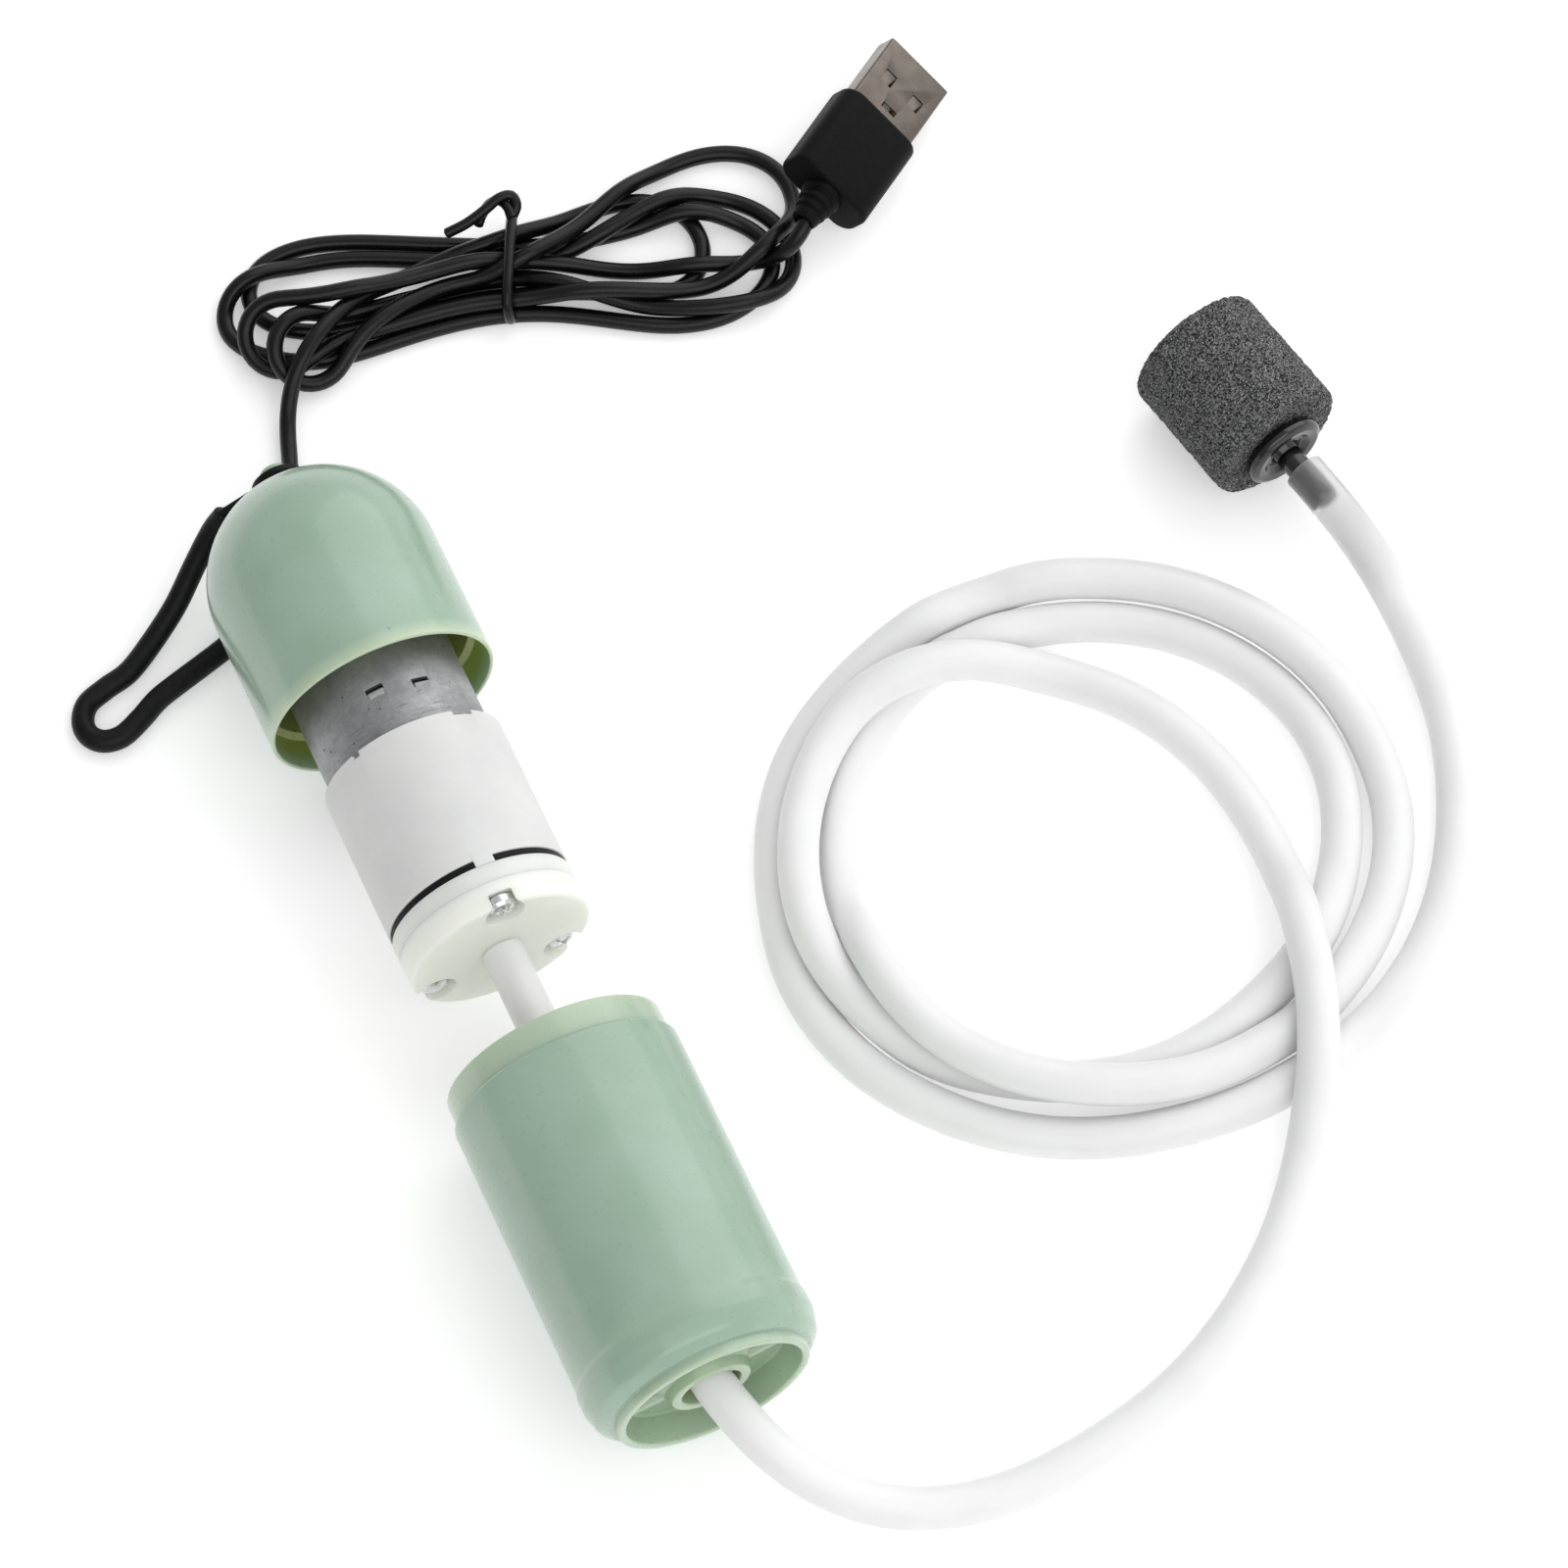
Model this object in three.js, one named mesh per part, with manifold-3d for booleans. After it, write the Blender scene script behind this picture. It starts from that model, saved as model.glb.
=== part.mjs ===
// Small USB aquarium air pump, shown pulled apart along its own axis.
//
// Units are millimetres, +Z is up and the parts lie on the plane z = 0. The pump
// axis is horizontal and parallel to Y: the domed upper cover is toward +Y, the
// lower cover toward -Y. Inside the pump group the origin is on the table below
// the end face of the valve head, and y runs along the pump axis.

import * as THREE from 'three';
import { mergeVertices } from 'three/addons/utils/BufferGeometryUtils.js';
import Module from 'manifold-3d';

const wasm = await Module();
wasm.setup();

// ---------------------------------------------------------------- dimensions
const ORIGIN_X = 11.45;           // pump axis from the part's origin
const ORIGIN_Y = -5.7;            // valve head end face from the part's origin
const AXIS_Z = 17;                // height of the pump axis
const GAP = 0.3;                  // clearance between touching pieces

const COVER_R = 17;               // outer radius of both covers
const WALL = 1.7;
const UPPER_RIM_Y = 42;           // open edge of the upper cover
const DOME_Y = 63;                // centre of the dome
const MOUTH_BORE_R = 16.3;        // counterbore that takes the lower cover's neck
const MOUTH_DEPTH = 5;
const POST_R = 1.35;              // swivel post on the dome's pole

const NECK_R = 16.0;
const NECK_TOP_Y = -18;
const NECK_LEN = 4.5;
const LOWER_END_Y = -72;
const LOWER_BODY_R = 16.75;
const BOTTOM_RIM_R = 14.1;
const RECESS = 4.6;
const BOSS_R = 5.5;
const BOSS_HOLE_R = 4.3;

const CAN_R = 12.2;
const CAN_Y0 = 30.3;
const CAN_Y1 = 60.8;
const BODY_R = 13.5;
const HEAD_T = 4.2;               // valve head thickness
const SCREW_PCD_R = 11.0;
const SCREW_ANGLES = [5, 125, 245];

const SHAFT_R = 1.15;
const TILT = THREE.MathUtils.degToRad(6);   // oblique crank pin
const WOBBLE_Y = 9.5;             // where the oblique axis meets the pump axis

const HOSE_R = 3.0;
const CABLE_R = 1.25;
const ROD_R = 1.6;                // hanging hook rod
const SEG = 40;

// direction of the cable exit from the dome's centre
const EXIT_N = new THREE.Vector3(0.10, 0.885, -0.455).normalize();

// ------------------------------------------------------------------- helpers
function clean(geometry) {
  let g = geometry.clone();
  for (const name of Object.keys(g.attributes)) if (name !== 'position') g.deleteAttribute(name);
  g = mergeVertices(g, 1e-4);
  const p = g.attributes.position.array;
  const idx = [];
  const src = g.index.array;
  for (let i = 0; i < src.length; i += 3) {
    const [a, b, c] = [src[i], src[i + 1], src[i + 2]];
    if (a !== b && b !== c && a !== c) idx.push(a, b, c);
  }
  let volume = 0;
  for (let i = 0; i < idx.length; i += 3) {
    const a = idx[i] * 3, b = idx[i + 1] * 3, c = idx[i + 2] * 3;
    volume += p[a] * (p[b + 1] * p[c + 2] - p[b + 2] * p[c + 1])
      - p[a + 1] * (p[b] * p[c + 2] - p[b + 2] * p[c])
      + p[a + 2] * (p[b] * p[c + 1] - p[b + 1] * p[c]);
  }
  if (volume < 0) for (let i = 0; i < idx.length; i += 3) [idx[i + 1], idx[i + 2]] = [idx[i + 2], idx[i + 1]];
  return { p, idx };
}

function solid(geometry) {
  const { p, idx } = clean(geometry);
  return new wasm.Manifold(new wasm.Mesh({
    numProp: 3,
    vertProperties: Float32Array.from(p),
    triVerts: Uint32Array.from(idx),
  }));
}

function geometryOf(manifold) {
  const m = manifold.getMesh();
  const g = new THREE.BufferGeometry();
  g.setAttribute('position', new THREE.BufferAttribute(Float32Array.from(m.vertProperties), 3));
  g.setIndex(new THREE.BufferAttribute(Uint32Array.from(m.triVerts), 1));
  g.computeVertexNormals();
  return g;
}

const moved = (g, x, y, z) => { g.translate(x, y, z); return g; };
const placed = (g, m4) => { g.applyMatrix4(m4); return g; };

// revolved about y; points are [radius, y]
function lathe(points, seg = SEG) {
  return solid(new THREE.LatheGeometry(points.map(([r, y]) => new THREE.Vector2(r, y)), seg));
}
// cylinder along y between y0 and y1
function cylY(r, y0, y1, x = 0, z = 0, seg = 20) {
  return solid(moved(new THREE.CylinderGeometry(r, r, y1 - y0, seg), x, (y0 + y1) / 2, z));
}
function box(x0, x1, y0, y1, z0, z1) {
  return solid(moved(new THREE.BoxGeometry(x1 - x0, y1 - y0, z1 - z0), (x0 + x1) / 2, (y0 + y1) / 2, (z0 + z1) / 2));
}
function ringY(ro, ri, y0, y1, seg = SEG) {
  return lathe([[ri, y0], [ro, y0], [ro, y1], [ri, y1], [ri, y0]], seg);
}
// box turned about the y axis by an angle measured from +z toward +x
function boxAt(angleDeg, r0, r1, halfW, y0, y1) {
  const g = new THREE.BoxGeometry(2 * halfW, y1 - y0, r1 - r0);
  g.translate(0, (y0 + y1) / 2, (r0 + r1) / 2);
  g.rotateY(THREE.MathUtils.degToRad(angleDeg));
  return solid(g);
}
const polar = (angleDeg, r) => {
  const a = THREE.MathUtils.degToRad(angleDeg);
  return [r * Math.sin(a), r * Math.cos(a)];
};
// ring sector between two angles, extruded along y
function sector(ri, ro, a0, a1, y0, y1, n = 8) {
  const s = new THREE.Shape();
  for (let i = 0; i <= n; i++) {
    const [x, z] = polar(a0 + (a1 - a0) * i / n, ro);
    if (i === 0) s.moveTo(x, -z); else s.lineTo(x, -z);
  }
  for (let i = n; i >= 0; i--) {
    const [x, z] = polar(a0 + (a1 - a0) * i / n, ri);
    s.lineTo(x, -z);
  }
  s.closePath();
  const g = new THREE.ExtrudeGeometry(s, { depth: y1 - y0, bevelEnabled: false });
  g.rotateX(-Math.PI / 2);          // extrusion direction becomes +y, shape y becomes -z
  g.translate(0, y0, 0);
  return solid(g);
}
function tube(points, r, sides, steps, tension = 'centripetal') {
  const curve = new THREE.CatmullRomCurve3(points.map((q) => new THREE.Vector3(...q)), false, tension);
  const section = [];
  for (let i = 0; i < sides; i++) {
    const a = 2 * Math.PI * i / sides;
    section.push(new THREE.Vector2(r * Math.cos(a), r * Math.sin(a)));
  }
  return solid(new THREE.ExtrudeGeometry(new THREE.Shape(section), { steps, bevelEnabled: false, extrudePath: curve }));
}
function basis(xAxis, yAxis, zAxis, origin) {
  return new THREE.Matrix4().makeBasis(xAxis, yAxis, zAxis).setPosition(origin);
}
function transformed(manifold, m4) {
  return solid(placed(geometryOf(manifold), m4));
}

const part = new THREE.Group();
const pump = new THREE.Group();            // pieces laid out along the pump axis
pump.position.set(ORIGIN_X, ORIGIN_Y, AXIS_Z);
const table = new THREE.Group();           // pieces laid out on the table
table.position.set(ORIGIN_X, ORIGIN_Y, 0);
part.add(pump, table);

function add(group, name, manifold, color, roughness, metalness = 0, extra = {}) {
  const mesh = new THREE.Mesh(geometryOf(manifold), new THREE.MeshStandardMaterial({ color, roughness, metalness, ...extra }));
  mesh.name = name;
  group.add(mesh);
  return mesh;
}

const GREEN = 0x92b098, BLACK = 0x1b1b1c, WHITE = 0xdcdcdc, CREAM = 0xe0e3d2, STEEL = 0x828284, COPPER = 0xb87038;

// --------------------------------------------------------------- upper cover
{
  const outer = [], inner = [];
  for (let i = 1; i <= 9; i++) {
    const t = i / 9 * Math.PI / 2;
    outer.push([i === 9 ? 0 : COVER_R * Math.cos(t), DOME_Y + COVER_R * Math.sin(t)]);
  }
  const ri = COVER_R - WALL;
  for (let i = 8; i >= 1; i--) {
    const t = i / 9 * Math.PI / 2;
    inner.push([ri * Math.cos(t), DOME_Y + ri * Math.sin(t)]);
  }
  let cover = lathe([
    [MOUTH_BORE_R, UPPER_RIM_Y + 0.3], [16.6, UPPER_RIM_Y], [COVER_R, UPPER_RIM_Y + 0.4], [COVER_R, DOME_Y],
    ...outer, [0, DOME_Y + ri], ...inner, [ri, DOME_Y],
    [ri, UPPER_RIM_Y + MOUTH_DEPTH + 0.6], [MOUTH_BORE_R, UPPER_RIM_Y + MOUTH_DEPTH], [MOUTH_BORE_R, UPPER_RIM_Y + 0.3],
  ]);
  // swivel post with its spread head on the pole
  cover = cover.add(lathe([[0, DOME_Y + 16], [POST_R, DOME_Y + 16], [POST_R, 81.9], [2.1, 81.9], [2.1, 82.9], [1.6, 83.4], [0, 83.4], [0, DOME_Y + 16]], 20));
  // cable hole
  const hole = new THREE.CylinderGeometry(2.9, 2.9, 10, 20);
  hole.applyQuaternion(new THREE.Quaternion().setFromUnitVectors(new THREE.Vector3(0, 1, 0), EXIT_N));
  const hc = EXIT_N.clone().multiplyScalar(16.5);
  hole.translate(hc.x, hc.y + DOME_Y, hc.z);
  cover = cover.subtract(solid(hole));
  add(pump, 'upper_cover', cover, GREEN, 0.25);
}
// grommet that guides the cable out of the dome
{
  const q = new THREE.Quaternion().setFromUnitVectors(new THREE.Vector3(0, 1, 0), EXIT_N);
  const g = new THREE.LatheGeometry([[1.6, 13.7], [3.2, 13.7], [3.2, 14.6], [2.55, 14.6], [2.55, 17.4], [3.6, 17.4], [3.6, 18.3], [2.3, 18.9], [2.0, 21.0], [1.6, 21.0], [1.6, 13.7]].map(([r, y]) => new THREE.Vector2(r, y)), 20);
  g.applyQuaternion(q);
  g.translate(0, DOME_Y, 0);
  add(pump, 'cable_grommet', solid(g), BLACK, 0.5);
}
// --------------------------------------------------------------- hanging hook
{
  const HOOK = [[-9.2, 81.05, 13.1 - AXIS_Z], [-11.83, 80.2, 9.9 - AXIS_Z], [-14.89, 78.4, 7.2 - AXIS_Z], [-19.37, 75.2, 4.2 - AXIS_Z],
    [-24.41, 72.1, 2.3 - AXIS_Z], [-29.2, 69.3, 1.7 - AXIS_Z], [-33.2, 68.2, 1.65 - AXIS_Z], [-36.6, 66.9, 1.65 - AXIS_Z],
    [-38.25, 64.5, 1.65 - AXIS_Z], [-38.2, 62.1, 1.65 - AXIS_Z], [-36.6, 60.4, 1.65 - AXIS_Z], [-33.9, 60.1, 1.65 - AXIS_Z],
    [-30.6, 61.5, 1.65 - AXIS_Z], [-27.15, 63.4, 1.65 - AXIS_Z], [-23.6, 64.6, 1.65 - AXIS_Z], [-19.2, 65.9, 1.65 - AXIS_Z],
    [-15.2, 67.1, 1.75 - AXIS_Z], [-12.2, 68.1, 2.3 - AXIS_Z]];
  const rod = tube(HOOK, ROD_R, 8, 44);
  // flat strap and eyelet in the plane of the dome's pole
  const ring = ringY(3.9, POST_R + GAP, 80.4, 81.6, 24);
  const dir = new THREE.Vector2(-9.2, 13.1 - AXIS_Z);
  const len = dir.length();
  const strap = new THREE.BoxGeometry(3.0, 1.2, len - 2.0);
  strap.translate(0, 81, 2.6 + (len - 2.0) / 2);
  strap.rotateY(Math.atan2(dir.x, dir.y));
  let hook = rod.add(solid(strap)).add(ring);
  hook = hook.subtract(cylY(POST_R + GAP, 79, 83, 0, 0, 24));
  add(pump, 'hanging_hook', hook, BLACK, 0.45);
}
// --------------------------------------------------------------- lower cover
{
  const y0 = LOWER_END_Y;
  const ri = LOWER_BODY_R - WALL;
  const shoulder = NECK_TOP_Y - NECK_LEN;
  let cover = lathe([
    [NECK_R - 1.5, NECK_TOP_Y], [NECK_R - 0.2, NECK_TOP_Y], [NECK_R, NECK_TOP_Y - 0.3], [NECK_R, shoulder],
    [LOWER_BODY_R - 0.25, shoulder], [LOWER_BODY_R, shoulder - 0.6], [LOWER_BODY_R, y0 + 11],
    [COVER_R, y0 + 9.5], [COVER_R, y0 + 5.4], [16.6, y0 + 3.4], [15.6, y0 + 2.1], [14.6, y0 + 1.5],
    [BOTTOM_RIM_R, y0 + 1.4], [BOTTOM_RIM_R, y0 + 0.2], [BOTTOM_RIM_R - 0.3, y0], [12.9, y0], [12.7, y0 + RECESS],
    [BOSS_R + 0.4, y0 + RECESS], [BOSS_R, y0 + 1.4], [BOSS_HOLE_R, y0 + 1.4], [BOSS_HOLE_R, y0 + RECESS + 1.7],
    [ri - 2.0, y0 + RECESS + 1.7], [ri, y0 + RECESS + 4], [ri, shoulder - 1.2], [NECK_R - 1.5, shoulder - 0.2],
    [NECK_R - 1.5, NECK_TOP_Y],
  ]);
  for (const a of [80, 260]) cover = cover.add(boxAt(a, 4.7, 12.9, 0.7, y0 + 1.9, y0 + RECESS + 0.4));
  for (const a of [52, 232]) cover = cover.subtract(sector(10.9, 12.4, a, a + 23, y0 + 2, y0 + RECESS + 3));
  add(pump, 'lower_cover', cover, GREEN, 0.25);
}
// ------------------------------------------------------------------ pump unit
const bossHoles = (y0, y1, r) => SCREW_ANGLES.map((a) => { const [x, z] = polar(a, SCREW_PCD_R); return cylY(r, y0, y1, x, z, 12); });
{
  // crank chamber with the motor socket, the three screw bosses and the spacer tabs
  let body = lathe([
    [11.4, 8.4], [BODY_R, 8.4], [BODY_R, 31.3], [12.55, 31.3], [12.55, 30.0], [3.3, 30.0], [3.3, 27.6], [11.4, 27.6], [11.4, 8.4],
  ]);
  for (const a of SCREW_ANGLES) {
    const [x, z] = polar(a, 10.9);
    body = body.add(cylY(2.3, 8.4, 18, x, z, 14));
    body = body.add(sector(12.5, BODY_R, a - 7, a + 7, 6.9, 9, 3));
  }
  for (const b of bossHoles(5, 17, 1.25)) body = body.subtract(b);
  for (const a of [32, -38]) body = body.subtract(boxAt(a, 12, 14.5, 0.9, 30.3, 32));
  for (const x of [-8, 8]) body = body.subtract(cylY(1.45, 27, 31, x, 0, 12));
  body = body.intersect(cylY(BODY_R + 0.02, 5, 32, 0, 0, SEG));
  add(pump, 'pump_body', body, WHITE, 0.55);

  // rubber diaphragm with its three cups
  let dia = cylY(13.2, 6.95, 8.1, 0, 0, SEG);
  for (const a of [65, 185, 305]) {
    const [x, z] = polar(a, 6.3);
    dia = dia.add(lathe([[0, 7.5], [2.9, 7.5], [2.3, 11.4], [0, 11.4], [0, 7.5]], 14).translate([x, 0, z]));
    dia = dia.subtract(lathe([[0, 6], [2.2, 6], [1.7, 10.6], [0, 10.6], [0, 6]], 14).translate([x, 0, z]));
  }
  for (const a of SCREW_ANGLES) {
    dia = dia.subtract(sector(12.1, 14, a - 10, a + 10, 5, 10, 3));
    const [x, z] = polar(a, SCREW_PCD_R);
    dia = dia.subtract(cylY(1.25, 5, 10, x, z, 12));
  }
  add(pump, 'diaphragm', dia, 0x202020, 0.7);

  // valve plate between the diaphragm and the head
  let plate = cylY(BODY_R, HEAD_T + 0.3, 6.6, 0, 0, SEG);
  for (const b of bossHoles(3, 8, 1.25)) plate = plate.subtract(b);
  plate = plate.subtract(cylY(1.0, 3, 8, 0, 0, 12));
  for (const a of [65, 185, 305]) { const [x, z] = polar(a, 6.3); plate = plate.subtract(cylY(0.7, 3, 8, x, z, 8)); }
  add(pump, 'valve_plate', plate, 0xe6e8e6, 0.5);
  add(pump, 'outlet_valve', lathe([[0, 3.2], [2.2, 3.4], [2.4, 4.2], [0.7, 4.2], [0.7, 6.4], [0, 6.4], [0, 3.2]], 14), BLACK, 0.7);

  // valve head with three open screw pockets and the hose nozzle
  let head = lathe([
    [0, HEAD_T - 1.9], [8.2, HEAD_T - 1.9], [8.2, HEAD_T], [BODY_R, HEAD_T], [BODY_R, 0.4], [BODY_R - 0.4, 0], [2.7, 0], [2.1, -0.6], [2.1, -6.6], [1.6, -8], [0, -8], [0, HEAD_T - 1.9],
  ]);
  head = head.subtract(cylY(1.05, -9, 3, 0, 0, 12));
  for (const a of SCREW_ANGLES) {
    const [x, z] = polar(a, SCREW_PCD_R);
    head = head.subtract(cylY(2.75, -1, 2.4, x, z, 16));
    head = head.subtract(cylY(1.25, -1, 5, x, z, 12));
  }
  add(pump, 'valve_head', head, CREAM, 0.4);

  SCREW_ANGLES.forEach((a, i) => {
    const [x, z] = polar(a, SCREW_PCD_R);
    let s = lathe([[0, 0.55], [1.3, 0.65], [1.9, 1.2], [1.9, 2.1], [0.95, 2.1], [0.95, 15.6], [0.5, 16.4], [0, 16.4], [0, 0.55]], 12).translate([x, 0, z]);
    s = s.subtract(box(x - 1.1, x + 1.1, 0, 1.15, z - 0.2, z + 0.2)).subtract(box(x - 0.2, x + 0.2, 0, 1.15, z - 1.1, z + 1.1));
    add(pump, 'head_screw_' + (i + 1), s, 0xb4b4b6, 0.25, 1);
  });
}
// -------------------------------------------------------------------- motor
{
  let can = lathe([[CAN_R - 0.5, CAN_Y0], [CAN_R, CAN_Y0 + 0.5], [CAN_R, CAN_Y1], [CAN_R - 0.8, CAN_Y1], [CAN_R - 0.8, CAN_Y0 + 0.8], [3.3, CAN_Y0 + 0.8], [3.3, CAN_Y0], [CAN_R - 0.5, CAN_Y0]]);
  for (const x of [-8, 8]) can = can.subtract(cylY(1.45, 30, 32, x, 0, 12));
  for (const [a, y] of [[-10, 38.5], [21, 37.5]]) can = can.subtract(boxAt(a, CAN_R - 0.35, CAN_R + 1, 1.0, y - 0.45, y + 0.45));
  add(pump, 'motor_can', can, STEEL, 0.45, 0.8);
  let cap = cylY(11.1, 59.4, 61.6, 0, 0, 32).subtract(cylY(2.3, 59, 62, 0, 0, 16));
  for (const x of [-6.5, 6.5]) cap = cap.subtract(box(x - 0.6, x + 0.6, 59, 62, -1.45, 1.45));
  add(pump, 'motor_end_cap', cap, 0x2b2b2b, 0.6);
  for (const [s, n] of [[-1, 'neg'], [1, 'pos']]) {
    add(pump, 'motor_terminal_' + n, box(s * 6.5 - 0.25, s * 6.5 + 0.25, 57.4, 64.4, -1.1, 1.1), 0xc8b878, 0.3, 1);
    const x0 = s > 0 ? 3.0 : -5.9, x1 = s > 0 ? 5.9 : -3.0;
    add(pump, 'motor_brush_' + n, box(x0, x1, 56.2, 58.4, -0.9, 0.9), 0x3a3a3a, 0.5, 0.3);
  }
  add(pump, 'motor_magnet_a', sector(9.1, 11.0, -62, 62, 35.5, 55, 8), 0x3c3c40, 0.6, 0.3);
  add(pump, 'motor_magnet_b', sector(9.1, 11.0, 118, 242, 35.5, 55, 8), 0x3c3c40, 0.6, 0.3);
  add(pump, 'motor_bush_front', ringY(3.0, SHAFT_R + GAP, 28.9, 32.4, 16), 0xa8844a, 0.35, 1);
  add(pump, 'motor_bush_rear', ringY(2.0, SHAFT_R + GAP, 59.2, 61.4, 16), 0xa8844a, 0.35, 1);
  for (const [x, n] of [[-8, 'a'], [8, 'b']]) {
    add(pump, 'motor_screw_' + n, lathe([[0, 25.8], [2.0, 25.9], [2.2, 27.3], [1.15, 27.3], [1.15, 32.8], [0, 32.8], [0, 25.8]], 12).translate([x, 0, 0]), 0x9a9a9c, 0.3, 1);
  }
}
// -------------------------------------------------------------------- rotor
{
  add(pump, 'motor_shaft', cylY(SHAFT_R, 23.3, 61.2, 0, 0, 12), 0xb0b0b4, 0.25, 1);
  let core = ringY(3.2, SHAFT_R + GAP, 38, 53, 18);
  for (const a of [0, 120, 240]) {
    core = core.add(boxAt(a, 2.6, 7.0, 1.2, 38, 53));
    core = core.add(sector(6.3, 8.4, a - 46, a + 46, 38, 53, 6));
  }
  add(pump, 'armature_core', core, 0x6a6a70, 0.5, 0.8);
  ['a', 'b', 'c'].forEach((n, i) => {
    const a = 120 * i;
    const w = boxAt(a, 3.6, 5.6, 2.3, 36.2, 54.8).subtract(boxAt(a, 3.0, 6.5, 1.5, 37.7, 53.3));
    add(pump, 'armature_winding_' + n, w, COPPER, 0.35, 0.8);
  });
  add(pump, 'commutator', ringY(2.7, SHAFT_R + GAP, 55.4, 58.9, 12), COPPER, 0.3, 0.9);
  // oblique pin frame: its y axis leans by TILT, through the point (0, WOBBLE_Y, 0)
  const lean = new THREE.Matrix4().makeTranslation(0, WOBBLE_Y, 0).multiply(new THREE.Matrix4().makeRotationX(TILT));
  const tilted = (m) => transformed(m, lean);
  let hub = lathe([[0, 20.6], [3.4, 20.6], [3.7, 21.0], [3.7, 26.6], [0, 26.6], [0, 20.6]], 20);
  hub = hub.subtract(cylY(SHAFT_R + GAP, 23.0, 28, 0, 0, 12));
  hub = hub.subtract(tilted(cylY(1.1, 10, 12.9, 0, 0, 12)));
  add(pump, 'crank_hub', hub, 0xd8c8a0, 0.5);
  add(pump, 'crank_pin', tilted(cylY(0.8, 3.9, 12.6, 0, 0, 12)), 0xb0b0b4, 0.25, 1);
  let star = lathe([[1.1, 3.6], [2.6, 3.6], [2.6, 10.4], [1.1, 10.4], [1.1, 3.6]], 16);
  for (const a of [65, 185, 305]) {
    star = star.add(boxAt(a, 2.0, 7.6, 1.5, 3.7, 5.1));
  }
  add(pump, 'wobble_plate', tilted(star), 0xe8e8e8, 0.5);
}
// ------------------------------------------------------------------ air line
const HOSE = [
  [0, -9, 17], [0, -21.73, 17], [0, -34.46, 17], [0, -47.19, 17], [-0.01, -59.92, 17],
  [1.02, -72.52, 16.27], [5.78, -83.52, 12.25], [14.24, -91.45, 7.22], [25.71, -95.66, 3.94], [38.34, -96.49, 3.02],
  [50.94, -94.77, 3], [63.09, -91.03, 3], [74.22, -84.9, 3], [84.04, -76.82, 3], [92.14, -67.21, 4.28],
  [98.3, -57.28, 9.1], [103.16, -45.54, 9.2], [106.25, -33.66, 6.53], [107.62, -21.69, 3.04], [105.97, -9.1, 3],
  [100.9, 2.52, 3], [92.37, 11.87, 3.26], [81.86, 17.53, 7.38], [69.58, 19.3, 9.44], [57.73, 15.51, 8.02],
  [48.83, 6.5, 8.19], [43.27, -4.88, 8.42], [42.3, -17.41, 7.29], [46.56, -29.08, 4.95], [54.82, -38.39, 3.01],
  [65.62, -45.07, 3], [77.9, -48.17, 3], [90.52, -46.98, 3], [102.38, -42.43, 3], [112.38, -34.68, 3],
  [119.15, -23.96, 3], [121.49, -11.55, 3], [118.46, 0.72, 3], [111.11, 11.04, 3], [100.69, 18.25, 3],
  [88.55, 21.84, 3.44], [75.92, 21.42, 3.29], [64.49, 16.05, 3.02], [55.52, 7.1, 3], [49.88, -4.26, 3.2],
  [47.83, -15.32, 8.64], [48.76, -27.35, 10.91], [54.47, -38.51, 9.27], [63.87, -46.97, 8.81], [75.46, -52.02, 7.76],
  [87.97, -53.13, 6.13], [100.09, -50.48, 3.5], [111.37, -44.71, 3], [120.6, -36.02, 3], [126.5, -24.82, 3],
  [127.75, -12.32, 4.16], [124.81, -0.16, 6.05], [118.53, 10.87, 6.25], [109.36, 19.63, 6.04], [98.11, 25.49, 5.77],
  [85.99, 28.35, 3.55], [73.45, 27.26, 3.39], [61.63, 22.65, 3], [51.28, 15.33, 3], [43.84, 5.06, 3],
  [39.35, -6.83, 3], [37.97, -19.41, 3], [41.19, -31.66, 3], [48.24, -42.21, 3], [57.87, -50.48, 3],
  [69.38, -55.83, 3], [81.84, -58.32, 3], [94.54, -58.11, 3], [106.93, -55.29, 3], [118.18, -49.41, 3],
  [127.48, -40.77, 3], [134.45, -30.15, 3], [139.17, -18.35, 3], [141.2, -5.84, 3.5], [140.45, 6.2, 7.41],
  [137.85, 17.8, 10.85]
];
HOSE[0] = [0, -8.3, 17];
const STONE_C = new THREE.Vector3(133.25, 39.98, 10.9);
const STONE_A = new THREE.Vector3(0.2, -0.98, 0).normalize();
{
  add(table, 'air_hose', tube(HOSE, HOSE_R, 8, 80), 0xf2f4f2, 0.3, 0, { transparent: true, opacity: 0.6 });
  const m = new THREE.Matrix4().makeRotationFromQuaternion(new THREE.Quaternion().setFromUnitVectors(new THREE.Vector3(0, 1, 0), STONE_A)).setPosition(STONE_C);
  const stone = lathe([[0, -10.2], [9.4, -10.2], [10.6, -9.0], [10.6, 9.0], [9.4, 10.2], [2.2, 10.2], [2.2, -2], [0, -2], [0, -10.2]], 28);
  add(table, 'air_stone', transformed(stone, m), 0x56585a, 0.95);
  const fit = lathe([[0, -1.6], [1.9, -1.6], [1.9, 10.5], [5.6, 10.5], [6.3, 11.3], [6.1, 12.2], [5.2, 12.7], [4.0, 12.4], [3.2, 11.6], [1.95, 11.6], [1.95, 22.0], [0, 22.0], [0, -1.6]], 20);
  add(table, 'air_stone_fitting', transformed(fit.subtract(cylY(0.8, -3, 23, 0, 0, 8)), m), BLACK, 0.3);
}
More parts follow.
